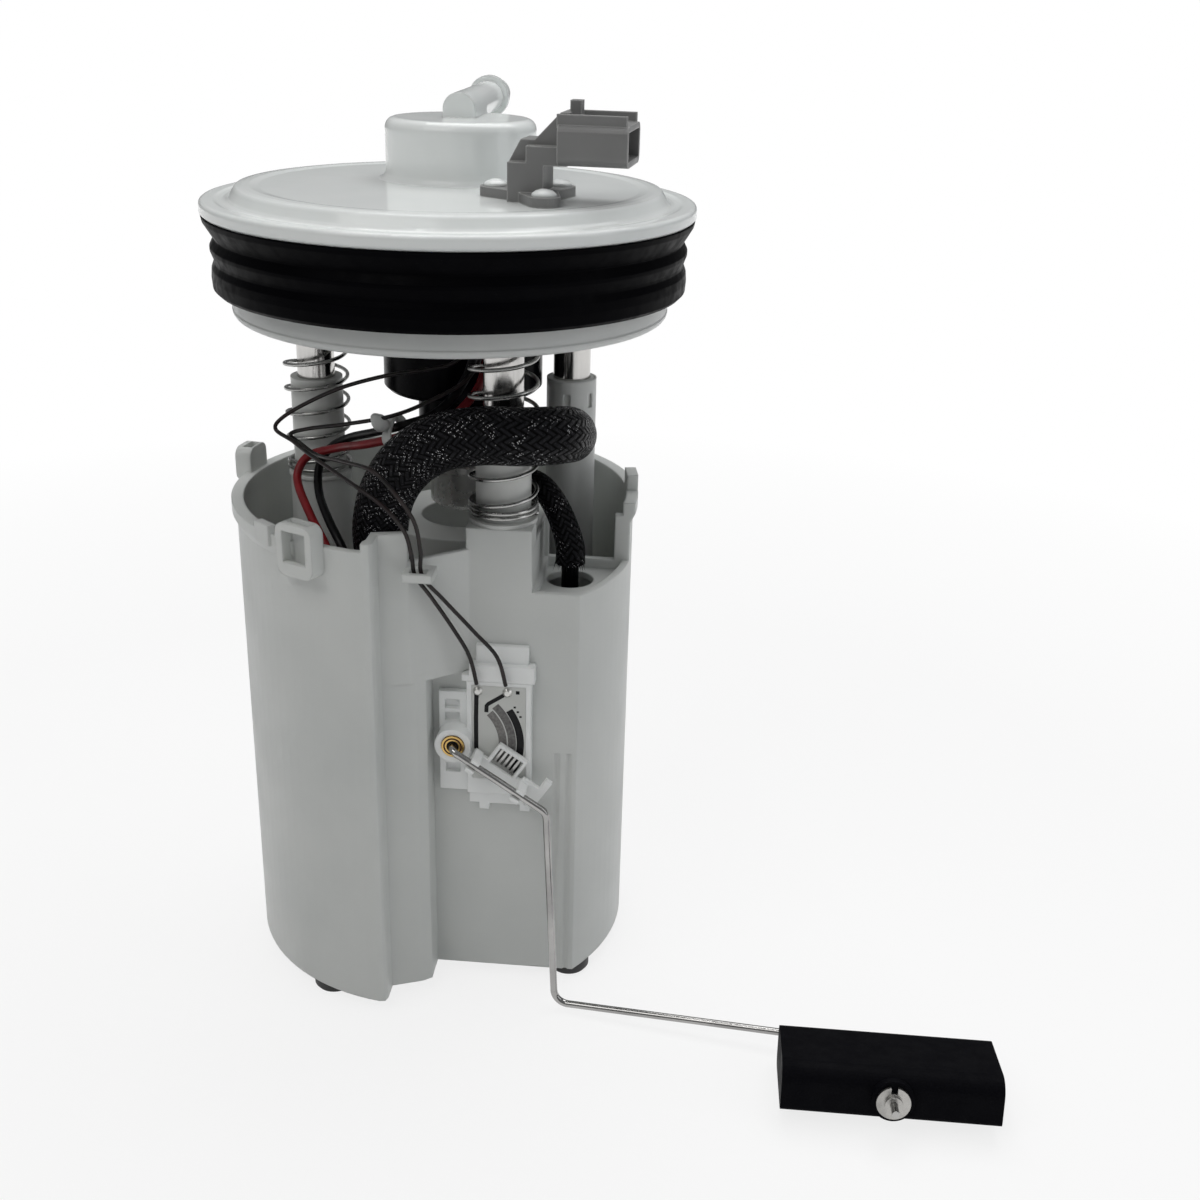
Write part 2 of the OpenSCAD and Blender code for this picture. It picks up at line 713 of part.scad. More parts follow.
// Everything on the sender is placed from the hub and the flat
module sender_bracket() {
    y0 = -sender_flat_y - bracket_t;
    y1 = -sender_flat_y;
    x0 = hub_x - 5;
    x1 = card_x0 + card_w + 1.6;
    top = card_top_z + 1.2;
    color(white) difference() {
        union() {
            // Back plate and card frame
            block(card_x0 - 1.6, x1, y0 - card_t, y1, hub_z - 17.6, top);
            // Ladder flange at the left
            block(x0, card_x0, y0 + 0.8, y1, hub_z - 17.6, hub_z + 15.4);
            // Top bracket and its clip flange
            block(card_x0 + 1, x1 - 1, y0 + 1.2, y1, top, hub_z + 30.8);
            block(hub_x + 2.2, x1 + 1, y0 - 0.6, y1, top, overhang_z - 0.1);
            block(ramp_end_x + 0.2, x1 + 1, y0 - 0.6, y1, overhang_z - 0.2, top + 5.4);
            // Foot with two legs
            block(hub_x + 4, x1 - 2, y0 + 0.6, y1, hub_z - 21.6, hub_z - 17.6);
            for (x = [hub_x + 7, hub_x + 19.4])
                block(x, x + 3, y0 + 0.6, y1, hub_z - 23.8, hub_z - 21.6 + eps);
            rod_y(hub_x, hub_z, hub_d, y1 - hub_l, y1);
        }
        // Seat of the card
        block(card_x0 - 0.05, card_x0 + card_w + 0.05, y0 - 5, y0, card_top_z - card_h - 0.05,
            card_top_z + 0.05);
        // Windows of the ladder
        for (z = [7.2, 11.4]) translate([hub_x - 3.2, y0 - 1, hub_z + z - 1.6])
            cube([4.4, bracket_t + 0.2, 2.9]);
        translate([hub_x - 3.2, y0 - 1, hub_z - 11.6]) cube([4.4, bracket_t + 0.2, 2.9]);
        // Seat of the pivot bush
        rod_y(hub_x, hub_z, bush_d + 2 * fit_gap, y1 - hub_l - 1, y1 - 0.6);
    }
}

module pivot_bush() {
    bore = arm_wire_d + 2 * bush_clear;
    color(brass) difference() {
        rod_y(hub_x, hub_z, bush_d, -sender_flat_y - hub_l - 0.4, -sender_flat_y - 0.7);
        rod_y(hub_x, hub_z, bore, -sender_flat_y - hub_l - 2, -sender_flat_y);
    }
}

module sender_card() {
    y1 = -sender_flat_y - bracket_t;
    color(white) block(card_x0, card_x0 + card_w, y1 - card_t, y1, card_top_z - card_h, card_top_z);
}

module solder_joints() {
    y = -sender_flat_y - bracket_t - card_t;
    color(steel) for (x = [card_x0 + 1.8, card_x0 + 10.6]) translate([x, y, card_top_z - 1.8])
        rotate([90, 0, 0])
        cylinder(d1 = 3, d2 = 1.6, h = 0.8, $fn = 24);
}

// Lever frame turned so that it lies along the first stretch of the arm
lever_angle = atan2(arm_bend_1[2] - hub_z, arm_bend_1[0] - hub_x);

module on_lever() {
    translate([hub_x, 0, hub_z]) rotate([0, -lever_angle, 0]) children();
}

lever_cradles = [6.4, 22.6];

module sender_lever() {
    y0 = lever_y - lever_t;
    y1 = lever_y;
    color(white) on_lever() difference() {
        union() {
            block(6.4, 31, y0, y1, -0.9, 2);
            block(23, 31, y0, y1, -1.2, 3.2);
            // Thin frame round the wiper
            block(11, 21.2, y0, y1, 0.4, 8.6);
            // End hook
            block(28.8, 31, y0, y1, -1.4, 7);
            // Cradles that grip the wire
            for (x = lever_cradles) block(x, x + 2.8, arm_plane_y - 1.6, y1, -2.4, 2.4);
        }
        block(12, 20.2, y0 - 1, y1 + 1, 1.4, 7.6);
        for (x = lever_cradles) block(x - 1, x + 3.8, arm_plane_y - 3, arm_plane_y + arm_wire_d / 2 + 0.05,
            -arm_wire_d / 2 - 0.05, arm_wire_d / 2 + 0.05);
    }
}

module wiper_contact() {
    // Slotted spring plate in the lever's frame, its fingers resting just off the card
    y0 = lever_y - 0.9;
    fingers = 5;
    gap = 0.45;
    w = 6.4 / fingers;
    color(steel) on_lever() union() {
        block(12.1, 20.1, y0, y0 + 0.4, 1.5, 2.6);
        for (i = [0 : fingers - 1]) block(12.6 + i * 1.5, 12.6 + i * 1.5 + w - gap, y0, y0 + 0.4, 2.5, 7.4);
    }
}

// Unit vectors of the tilted float: forward and upward
float_forward = [0, -cos(float_tilt), sin(float_tilt)];
float_up = [0, sin(float_tilt), cos(float_tilt)];
float_base = [float_x, float_back_y, float_gap_z];
float_back_mid = float_base + float_up * float_t / 2;
float_front_mid = float_back_mid + float_forward * float_w;

// Straight round bar from a to b, which runs a little into the bends at its ends
module bar(a, b, d) {
    v = b - a;
    translate(a - unit(v) * bend_lap) rotate([0, acos(v[2] / norm(v)), atan2(v[1], v[0])])
        cylinder(d = d, h = norm(v) + 2 * bend_lap, $fn = fine_fn);
}

function turn_angle(a, b, c) = acos(unit(b - a) * unit(c - b));

// Points where a bend of radius r at b meets the straights to a and to c
function bend_in(a, b, c, r) = b - unit(b - a) * r * tan(turn_angle(a, b, c) / 2);

function bend_out(a, b, c, r) = b + unit(c - b) * r * tan(turn_angle(a, b, c) / 2);

// Bend of a round bar at b, coming from a and going on to c
module elbow(a, b, c, r, d) {
    u = unit(b - a);
    w = unit(c - b);
    n = unit(w - u * (u * w));
    x = -n;
    z = cross(x, u);
    m = bend_in(a, b, c, r) + n * r;
    multmatrix([
        [x[0], u[0], z[0], m[0]], [x[1], u[1], z[1], m[1]], [x[2], u[2], z[2], m[2]], [0, 0, 0, 1]
    ]) rotate_extrude(angle = turn_angle(a, b, c), $fn = fine_fn)
        translate([r, 0]) circle(d = d + bend_swell, $fn = fine_fn);
}

module float_arm_wire() {
    // One bent wire: pivot, lever stretch, drop, cross stretch and the pin through the float
    behind = 2.4;
    past_nut = 5.5;
    d = arm_wire_d;
    start = [hub_x, -sender_flat_y - 1.6, hub_z];
    p1 = [hub_x, arm_plane_y, hub_z];
    p2 = arm_bend_1;
    p3 = arm_bend_2;
    p4 = float_back_mid - float_forward * behind;
    end = float_front_mid + float_forward * (float_boss_h + nut_t + past_nut);
    r1 = 2.2;
    r2 = 4;
    r3 = 4.5;
    r4 = 2.6;
    color(steel) union() {
        bar(start, bend_in(start, p1, p2, r1), d);
        elbow(start, p1, p2, r1, d);
        bar(bend_out(start, p1, p2, r1), bend_in(p1, p2, p3, r2), d);
        elbow(p1, p2, p3, r2, d);
        bar(bend_out(p1, p2, p3, r2), bend_in(p2, p3, p4, r3), d);
        elbow(p2, p3, p4, r3, d);
        bar(bend_out(p2, p3, p4, r3), bend_in(p3, p4, end, r4), d);
        elbow(p3, p4, end, r4, d);
        bar(bend_out(p3, p4, end, r4), end, d);
    }
}

module push_nut() {
    at_front = float_front_mid + float_forward * float_boss_h;
    color(zinc) translate(at_front) rotate([90 - float_tilt, 0, 0]) difference() {
        union() {
            translate([0, 0, 0.1]) cylinder(d = nut_d, h = nut_t, $fn = fine_fn);
            translate([0, 0, 0.1]) cylinder(d = 5, h = nut_t + 1, $fn = fine_fn);
        }
        translate([0, 0, -1]) cylinder(d = arm_wire_d + 0.02, h = 5, $fn = fine_fn);
        translate([-0.9, 2.8, -1]) cube([1.8, 2, 5]);
    }
}

module float_block() {
    edge = 3;
    profile = concat(
        arc([edge, edge], edge, 180, 270, 5),
        arc([float_w - 1.2, 1.2], 1.2, 270, 360, 3),
        arc([float_w - 5, float_t - 5], 5, 0, 90, 8),
        arc([edge, float_t - edge], edge, 90, 180, 5)
    );
    color(black) translate(float_base - [float_l / 2, 0, 0]) rotate([-float_tilt, 0, 0]) difference() {
        union() {
            // The profile's first axis runs forward and its second runs up
            multmatrix([[0, 0, 1, 0], [-1, 0, 0, 0], [0, 1, 0, 0], [0, 0, 0, 1]])
                linear_extrude(float_l) polygon(profile);
            translate([float_l / 2, -float_w + eps, float_t / 2]) rotate([90, 0, 0])
                cylinder(d = float_boss_d, h = float_boss_h, $fn = fine_fn);
        }
        translate([float_l / 2, 5, float_t / 2]) rotate([90, 0, 0])
            cylinder(d = arm_wire_d + 2 * float_bore_clear, h = 60, $fn = fine_fn);
    }
}

module flange_cover() {
    rim_r = flange_d / 2;
    raised_r = raised_d / 2;
    underside = raised_top_z - plate_t;
    ring_out = cup_inner_r - fit_gap;
    ring_in = ring_out - 2.5;
    plug_z = seat_z - 7;
    color(white) difference() {
        union() {
            rotate_extrude($fn = round_fn) polygon(concat(
                [[0, underside], [ring_in, underside], [ring_in, plug_z], [ring_out, plug_z],
                [ring_out, seat_z],
                    [rim_r - 0.8, seat_z], [rim_r, seat_z + 0.8]],
                arc([rim_r - 1.2, rim_top_z - 1.2], 1.2, 0, 90, 4),
                [[raised_r + 5, rim_top_z], [raised_r + 4, rim_top_z - 0.3],
                [raised_r + 2.6, rim_top_z - 0.4]],
                [[raised_r + 1.6, rim_top_z - 0.2], [raised_r + 0.8, rim_top_z + 0.5]],
                arc([raised_r - 3, raised_top_z - 2.4], 3, 25, 53, 4),
                [[raised_r - 3, raised_top_z + 0.25], [raised_r - 5, raised_top_z + 0.3],
                [raised_r - 7.5, raised_top_z],
                    [0, raised_top_z]]
            ));
            // Turret with a rounded shoulder and a small fillet at its foot
            translate([0, turret_y, 0]) rotate_extrude($fn = round_fn) polygon(concat(
                [[0, underside], [turret_d / 2, underside]],
                [[turret_d / 2 + 2, raised_top_z], [turret_d / 2 + 0.9, raised_top_z + 0.6],
                    [turret_d / 2 + 0.3, raised_top_z + 1.6]],
                [[turret_d / 2, raised_top_z + 3]],
                arc([turret_d / 2 - 3, turret_top_z - 3], 3, 0, 90, 6),
                [[0, turret_top_z]]
            ));
            // Outlet tube, its bead and its spigot
            rod_y(0, outlet_z, outlet_d, outlet_front_y, spigot_end_y - 1);
            translate([0, spigot_end_y - 1 - eps, outlet_z]) rotate([-90, 0, 0])
                cylinder(d1 = outlet_d, d2 = outlet_d - 1.6, h = 1, $fn = fine_fn);
            rod_y(0, outlet_z, bead_d, bead_y, bead_y + bead_w);
            block(-outlet_d / 2, outlet_d / 2, outlet_front_y, turret_y + turret_d / 2 - 4,
                turret_top_z - 1, outlet_z);
        }
        // Hollow of the turret and the fuel passage
        translate([0, turret_y, underside - 1])
            cylinder(d = turret_d - 2 * turret_wall, h = turret_top_z - turret_wall - underside + 1,
                $fn = round_fn);
        rod_y(0, outlet_z, outlet_bore_d, turret_y + 4, spigot_end_y + 1);
        translate([0, turret_y + 7, turret_top_z - turret_wall - 1])
            cylinder(d = outlet_bore_d - 0.5, h = 4, $fn = fine_fn);
        // Passage of the connector's terminals
        translate([connector_x, connector_y, underside - 1])
            cylinder(d = 9, h = plate_t + 2, $fn = fine_fn);
    }
}

module lower_cup() {
    r = cup_d / 2;
    // The seal's land starts just under the seal
    land_z = seat_z - seal_h - 0.2;
    color(white) difference() {
        rotate_extrude($fn = round_fn) polygon(concat(
            [[0, cup_bottom_z]],
            arc([r - 2, cup_bottom_z + 2.4], 2.2, -90, 0, 4),
            [[r, cup_bottom_z + 2.6], [r, land_z], [land_r, land_z], [land_r, seat_z - 0.1],
            [cup_inner_r, seat_z - 0.1],
                [cup_inner_r, cup_bottom_z + cup_floor], [0, cup_bottom_z + cup_floor]]
        ));
        for (p = [rod_left, rod_front, rod_rear]) tower_bore(p, rod_d + 2 * rod_clear, cup_bottom_z - 1,
            seat_z);
        at([0, turret_y]) translate([0, 0, cup_bottom_z - 1])
            cylinder(d = filter_d + 2 * fit_gap, h = cup_floor + 2, $fn = round_fn);
        tower_bore(wire_hole, wire_hole_d, cup_bottom_z - 1, seat_z);
    }
}

module tank_seal() {
    // Rubber ring with a top lip, a pinch and two ribs
    r = seal_d / 2;
    inner = land_r + seal_gap;
    lip_r = flange_d / 2 - 0.3;
    color(black) rotate_extrude($fn = round_fn) polygon([
        [inner, seat_z - seal_h], [r - 1.2, seat_z - seal_h], [r - 0.2, seat_z - 19.8], [r, seat_z - 17],
        [r - 0.2, seat_z - 14.6], [r - 0.9, seat_z - 12.8], [r - 0.9, seat_z - 12], [r, seat_z - 9.6],
        [r, seat_z - 8.6], [r - 1.2, seat_z - 6.2], [lip_r - 0.3, seat_z - 1.6], [lip_r, seat_z - 0.1],
        [inner, seat_z - 0.1]
    ]);
}

// Connector on the raised disc, with its column at this place
connector_x = 27;
connector_y = -24;
lug_t = 2.6;

function lug_places() = [[-12, 5], [4.8, -11.2], [4.6, 11]];

module on_connector() {
    translate([connector_x, connector_y, raised_top_z]) rotate([0, 0, connector_turn]) children();
}

module connector_housing() {
    column_w = 13;
    shell_x = 7.8;
    shell_z = 10;
    rail_z = 22.8;
    color(dark_grey) on_connector() difference() {
        union() {
            // Three lugs round the column
            for (p = lug_places()) hull() {
                translate([p[0], p[1], 0]) cylinder(r = 4.3, h = lug_t, $fn = 32);
                cylinder(r = 6, h = lug_t, $fn = 32);
            }
            // Column and duct with two steps, drawn from the side
            translate([0, column_w / 2, 0]) rotate([90, 0, 0]) linear_extrude(column_w) polygon([
                [-6.2, 0], [-6.2, 10.2], [-1.2, 10.2], [-1.2, 14.4], [shell_x + 2, 14.4],
                [shell_x + 2, shell_z - 0.4], [3.6, shell_z - 0.4], [3.6, 0]
            ]);
            // Sloped web behind the steps
            translate([0, column_w / 2, 0]) rotate([90, 0, 0]) linear_extrude(column_w - 3) polygon([
                [-6.2, 2], [-6.2, 10.4], [-3.2, 15.8], [0.6, 15.8], [7.4, rail_z], [shell_x + 2, rail_z],
                [shell_x + 2, shell_z], [3.6, shell_z], [3.6, 2]
            ]);
            // Shell, its two top rails and the latch block
            translate([shell_x, 0, shell_z]) rotate([90, 0, 90]) linear_extrude(shell_l) polygon(concat(
                arc([shell_w / 2 - 2.5, 2.5], 2.5, 270, 360, 5),
                arc([shell_w / 2 - 2.5, shell_h - 2.5], 2.5, 0, 90, 5),
                arc([2.5 - shell_w / 2, shell_h - 2.5], 2.5, 90, 180, 5),
                arc([2.5 - shell_w / 2, 2.5], 2.5, 180, 270, 5)
            ));
            for (y = [1.6 - shell_w / 2, shell_w / 2 - 3.1])
                block(shell_x - 0.4, shell_x + shell_l - 0.6, y, y + 1.5, shell_z + shell_h - 1, rail_z);
            block(shell_x + 1.6, shell_x + 4.6, -1, 3, shell_z + shell_h - 1, rail_z + 3);
        }
        // Socket
        block(shell_x + 3, shell_x + shell_l + 2, -shell_w / 2 + shell_wall, shell_w / 2 - shell_wall,
            shell_z + shell_wall, shell_z + shell_h - shell_wall);
        // Stakes pass through the lugs
        for (p = lug_places()) translate([p[0], p[1], -1]) cylinder(d = 3.6, h = lug_t + 2, $fn = fine_fn);
        // Four slots for the blades
        for (y = [-6, -2, 2, 6])
            block(shell_x, shell_x + 4, y - 0.9, y + 0.9, shell_z + 5.4, shell_z + 7.2);
    }
}

module connector_terminals() {
    color(steel) on_connector() for (y = [-6, -2, 2, 6]) block(8.4, 20.5, y - 0.8, y + 0.8, 15.6, 16.9);
}

module stake_heads() {
    color(white) on_connector() for (p = lug_places()) translate([p[0], p[1], 0]) union() {
        cylinder(d = 3.2, h = lug_t + eps, $fn = fine_fn);
        translate([0, 0, lug_t]) rotate_extrude($fn = fine_fn)
            polygon([[0, 0], [3.4, 0], [3.2, 0.7], [2.2, 1.4], [0.8, 1.8], [0, 1.8]]);
    }
}

module filter_housing() {
    top_z = seat_z - 8;
    r = filter_d / 2;
    barb_dir = -45;
    color(black) difference() {
        union() {
            translate([0, turret_y, 0]) rotate_extrude($fn = round_fn) polygon([
                [0, filter_bottom_z - neck_l], [neck_d / 2 - 1, filter_bottom_z - neck_l],
                [neck_d / 2, filter_bottom_z - neck_l + 1], [neck_d / 2, filter_bottom_z - 2],
                [neck_d / 2 + 2, filter_bottom_z], [r - 1.2, filter_bottom_z], [r, filter_bottom_z + 1.2],
                [r, top_z], [0, top_z]
            ]);
            // Barb for the large hose
            translate([0, turret_y, filter_bottom_z - neck_l + 6.4]) rotate([0, 0, barb_dir])
                rotate([0, 90, 0])
                cylinder(d = 9, h = barb_end, $fn = fine_fn);
        }
        // Chamber for the filter element and the regulator's seat
        translate([0, turret_y, filter_bottom_z + 2.5])
            cylinder(d = filter_d - 5, h = top_z - filter_bottom_z, $fn = round_fn);
        translate([0, turret_y, filter_bottom_z - neck_l - 1])
            cylinder(d = can_d + 2 * fit_gap, h = 10, $fn = fine_fn);
        translate([0, turret_y, filter_bottom_z - neck_l]) cylinder(d = 6, h = 40, $fn = fine_fn);
    }
}

barb_end = 24.2;

module filter_element() {
    // Pleated ring, drawn by a star-shaped outline
    pleats = 24;
    r1 = filter_d / 2 - 4.5;
    r0 = r1 - 4;
    color(white) translate([0, turret_y, filter_bottom_z + 2.7])
        linear_extrude(seat_z - 10 - filter_bottom_z - 2.7) difference() {
        polygon([for (i = [0 : 2 * pleats - 1]) let (r = i % 2 == 0 ? r1 : r0, a = 180 * i / pleats)
            [r * cos(a), r * sin(a)]]);
        circle(d = 14, $fn = fine_fn);
    }
}

module regulator_can() {
    top_z = filter_bottom_z - neck_l + 8.6;
    r = can_d / 2;
    port_l = 16.2;
    color(steel) translate([0, turret_y, 0]) union() {
        rotate_extrude($fn = round_fn) polygon([
            [0, can_bottom_z], [r - 1.6, can_bottom_z], [r, can_bottom_z + 1.6], [r, can_bottom_z + 12],
            [r + 1.2, can_bottom_z + 12.6], [r + 1.2, can_bottom_z + 14.4], [r, can_bottom_z + 15],
            [r, top_z - 2],
            [r - 1.8, top_z - 2], [r - 1.8, top_z], [0, top_z]
        ]);
        translate([0, 0, port_z]) rotate([0, 0, port_dir]) rotate([0, 90, 0])
            cylinder(d = 4, h = port_l, $fn = fine_fn);
    }
}

module regulator_seal() {
    top_z = filter_bottom_z - neck_l + 8.6;
    color(black) translate([0, turret_y, top_z - 2]) tube(can_d, can_d - 3.4, 1.8);
}

module guide_rod(p) {
    // Steel tube with a head inside the cup and a clip groove near its lower end
    top_z = cup_bottom_z + cup_floor;
    low_z = rod_low_z;
    groove_z = low_z + 3;
    r = rod_d / 2;
    color(steel) at(p) rotate_extrude($fn = round_fn) polygon([
        [r - 2, low_z], [r - 0.5, low_z], [r, low_z + 0.5], [r, groove_z], [r - 0.8, groove_z],
        [r - 0.8, groove_z + 1.3], [r, groove_z + 1.3], [r, top_z], [r + 1.6, top_z], [r + 1.6, top_z + 2],
        [r - 2, top_z + 2]
    ]);
}

module guide_rod_left() { guide_rod(rod_left); }

module guide_rod_front() { guide_rod(rod_front); }

module guide_rod_rear() { guide_rod(rod_rear); }

module rod_clips() {
    // Open rings in the grooves, which keep the halves together
    z = rod_low_z + clip_up;
    color(steel) for (p = [rod_left, rod_front, rod_rear]) at(p) translate([0, 0, z]) difference() {
        tube(rod_d + 1.8, rod_d - 1.4, clip_t);
        block(0, 10, -2.2, 2.2, -1, 3);
    }
}

module spring_left() {
    color(steel) at(rod_left)
        coil(spring_d, spring_wire_d, spring_turns, tower_left_z + spring_foot, spring_top_z);
}

module spring_front() {
    color(steel) at(rod_front)
        coil(spring_d, spring_wire_d, spring_turns, tower_front_z + spring_foot, spring_top_z);
}

// Stretches a route upward with the cup's floor. Points below the hose's barb stay in place.
function hung(route) = [
    for (q = route) let (share = (q[2] - filter_bottom_z + 10.6) / (usual_cup_z - filter_bottom_z + 10.6))
    q + [0, 0, (cup_bottom_z - usual_cup_z) * min(1, max(0, share))]
];

// Routes of the hoses and wires, as points that they pass through
large_hose_route = [
    hose_start, hose_start + [0, 0, 2.5], hose_start + [0, -0.2, 5], [-12.4, -20, 121], [-13.8, -28, 133],
    [-14.8, -35.8, 144], [-14.2, -40, 154.6],
    [-10.8, -43.2, 166], [-4.2, -46.8, 175.6], [5, -48.6, 182], [16, -49, 184.5], [26.4, -48, 184.5],
    [34.6, -42, 183.5],
    [37.2, -32, 181], [36.9, -22, 178], [32.6, -13.4, 175], [24.6, -7.6, 171.6], [19.4, -2.4, 170.5],
    [17.5, -0.5, 170.4]
];
small_hose_end = [37.6, -16.4, 137];
small_hose_route = [
    [11.9, 5.7, port_z], [13.5, 4.2, port_z + 0.1], [16, 2, 153.2], [19.8, -1.4, 156.6], [25, -6, 158.3],
    [29.6, -10, 156.4], [33.6, -13.4, 151.6],
    [36.4, -15.6, 145.6], small_hose_end + [0, 0, 4], small_hose_end + [0, 0, 2],
    small_hose_end
];
red_route = [
    [29, -21.6, 238.8], [28.4, -21.2, 234], [21, -16, 224], [12.5, -12.8, 213], [12.5, -12.8, 200],
    [10, -17, 189], [2, -26, 181], [-8.7, -31.5, 178.2],
    [-21, -24, 173], [-32.4, -13, 168], [-42.6, -8.2, 163.8], [-46, -9.5, 159.5], [-45, -14, 155.6],
    [-38.2, -25.5, 150], [-31, -34.5, 142.5], [-30.4, -30, 128], [-28.4, -21.6, 119], [-27, -17, 112.7],
    [-27, -17, 109.8], [-27, -17, 106.9]
];
black_route = [
    [25, -21.6, 238.8], [24.4, -21, 234], [16.6, -16, 224], [8.6, -13, 213], [8.6, -13, 200],
    [5.5, -16, 190], [-1, -23, 183], [-9.5, -27.5, 180.2],
    [-20, -18.5, 175], [-30, -8.6, 170], [-37, -5, 165.5], [-40.2, -7.2, 160.3], [-38.6, -15, 154.5],
    [-33, -26, 149.8], [-26.6, -34.2, 143], [-25, -31, 131], [-24.8, -20.6, 121], [-27, -11, 112.7],
    [-27, -11, 109.8], [-27, -11, 106.9]
];
left_wire_route = [
    [25.2, -26.2, 238.8], [24.6, -26, 234], [16, -20.6, 223], [8.8, -17, 213], [8.8, -17, 203],
    [4, -18.6, 197], [-3.1, -20, 194.8], [-14, -21, 193], [-28, -20, 188.6],
    [-40, -17, 182.5], [-48, -17, 177.4], [-49.1, -20, 174.8], [-43.1, -24, 172.8], [-36.7, -30, 171],
    [-27.4, -40.6, 170], [-17.2, -52, 169], [-9, -55.6, 164.8], [-4.2, -54.4, 157.8], [-2.8, -52.6, 150],
    [-2.2, -51.4, 144], [1.4, -48, 136.5], [6.6, -44.4, 126], [11.2, -42.8, 116.5], [13.2, -41.9, 107]
];
right_wire_route = [
    [28.8, -26.2, 238.8], [28.2, -26, 234], [20, -20.6, 223], [12.2, -17, 213], [12.2, -17, 203],
    [8, -21, 193], [-3, -27.5, 187], [-12.3, -32.7, 184],
    [-26, -28, 179.8], [-38, -23, 176.5], [-44.6, -20.5, 173.8], [-41.7, -20.8, 171.2], [-35, -26.6, 169.6],
    [-22.6, -44, 173.6], [-12.2, -55, 175], [-5.8, -56.4, 169], [-1.4, -54.8, 161], [-0.3, -52.8, 152],
    [-0.2, -51.4, 144], [5, -47.6, 135.6], [13, -44.6, 125], [19.4, -43, 116.6], [21.8, -41.9, 107]
];

module large_hose() {
    color(black) cord(smooth(hung(large_hose_route), 2), hose_d, 12);
}

module small_hose() {
    // The sleeve is slim at the regulator and flares where it ends over the bare tube
    p = smooth(hung(small_hose_route), 2);
    n = len(p);
    m = 12;
    s = sides(p);
    function size(i) = 7.2 + 2 * pow(i / (n - 1), 2);
    points = [
        for (i = [0 : n - 1], k = [0 : m - 1])
            let (t = tangent(p, i), b = cross(t, s[i]), a = 360 * k / m)
            p[i] + size(i) / 2 * (cos(a) * s[i] + sin(a) * b)
    ];
    color(black) polyhedron(points = points, faces = tube_faces(n, m));
}

module pump_wire_red() {
    color([0.55, 0.08, 0.09]) cord(smooth(hung(red_route), 2), pump_wire_d, 8);
}

module pump_wire_black() {
    color(black) cord(smooth(hung(black_route), 2), pump_wire_d, 8);
}

module sender_wire_left() {
    color(black) cord(smooth(hung(left_wire_route), 2), sender_wire_d, 8);
}

module sender_wire_right() {
    color(black) cord(smooth(hung(right_wire_route), 2), sender_wire_d, 8);
}

module cable_tie() {
    // Strap round the two pump wires, with a rounded head. Its middle and axes follow the wires there.
    strap_t = 0.9;
    half_y = 4.6;
    half_z = 2.1;
    color([0.7, 0.71, 0.7]) multmatrix([
        [0.76, 0.304, -0.573, -12], [-0.55, 0.772, -0.319, -28], [0.345, 0.558, 0.754, 178.2], [0, 0, 0, 1]
    ]) union() {
        difference() {
            block(-1.4, 1.4, -half_y - strap_t, half_y + strap_t, -half_z - strap_t, half_z + strap_t);
            block(-2, 2, -half_y, half_y, -half_z, half_z);
        }
        translate([0, 1.6 - half_y, half_z + strap_t - 0.4]) rotate_extrude($fn = fine_fn)
            polygon([[0, 0], [1.5, 0], [2.1, 0.8], [2.3, 1.8], [2, 2.8], [1.3, 3.5], [0, 3.8]]);
    }
}

reservoir_canister();
reservoir_feet();
inlet_valve();
guide_sleeve_left();
guide_sleeve_front();
guide_sleeve_rear();
pump_cradle();
pump_case();
pump_inlet_cap();
pump_outlet_cap();
pump_terminals();
strainer_sock();
jet_pump();
jet_tube();
sender_bracket();
sender_card();
solder_joints();
pivot_bush();
flange_cover();
lower_cup();
tank_seal();
connector_housing();
connector_terminals();
stake_heads();
filter_housing();
filter_element();
regulator_can();
regulator_seal();
guide_rod_left();
guide_rod_front();
guide_rod_rear();
rod_clips();
spring_left();
spring_front();
large_hose();
small_hose();
pump_wire_red();
pump_wire_black();
sender_wire_left();
sender_wire_right();
cable_tie();
float_arm_wire();
sender_lever();
wiper_contact();
push_nut();
float_block();
pump_armature();
pump_impeller();
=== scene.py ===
import math

import bpy
from mathutils import Matrix, Vector


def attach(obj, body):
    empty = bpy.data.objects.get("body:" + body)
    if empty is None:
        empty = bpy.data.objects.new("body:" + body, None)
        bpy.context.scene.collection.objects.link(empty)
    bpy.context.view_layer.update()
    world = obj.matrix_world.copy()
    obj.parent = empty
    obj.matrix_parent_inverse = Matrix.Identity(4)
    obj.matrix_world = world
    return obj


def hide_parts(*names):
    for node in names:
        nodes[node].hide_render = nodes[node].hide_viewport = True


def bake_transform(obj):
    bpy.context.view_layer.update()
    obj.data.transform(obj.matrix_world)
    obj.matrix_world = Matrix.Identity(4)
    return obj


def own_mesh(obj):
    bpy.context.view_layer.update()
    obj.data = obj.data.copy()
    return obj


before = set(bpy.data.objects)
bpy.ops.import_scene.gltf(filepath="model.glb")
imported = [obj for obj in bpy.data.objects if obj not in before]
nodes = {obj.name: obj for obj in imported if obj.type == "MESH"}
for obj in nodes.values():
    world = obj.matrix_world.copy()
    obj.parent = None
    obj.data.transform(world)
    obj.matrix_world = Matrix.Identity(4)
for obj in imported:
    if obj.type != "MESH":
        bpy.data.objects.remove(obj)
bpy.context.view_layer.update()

scene = bpy.context.scene

# Lengths are in metres, apart from the routes, the tie and the prints, which are in mm as in part.scad.
MM = 0.001

# ---------------------------------------------------------------- camera, fitted to the photograph
PITCH, ROLL, YAW = math.radians(22.72), math.radians(-1.58), math.radians(4.3)
CAMERA_AT = (0.077614, -0.425681, 0.297045)
LENS_MM, SENSOR_MM = 44.13, 36


def turned(v):
    c, s = math.cos(YAW), math.sin(YAW)
    return Vector((c * v[0] - s * v[1], s * v[0] + c * v[1], v[2]))


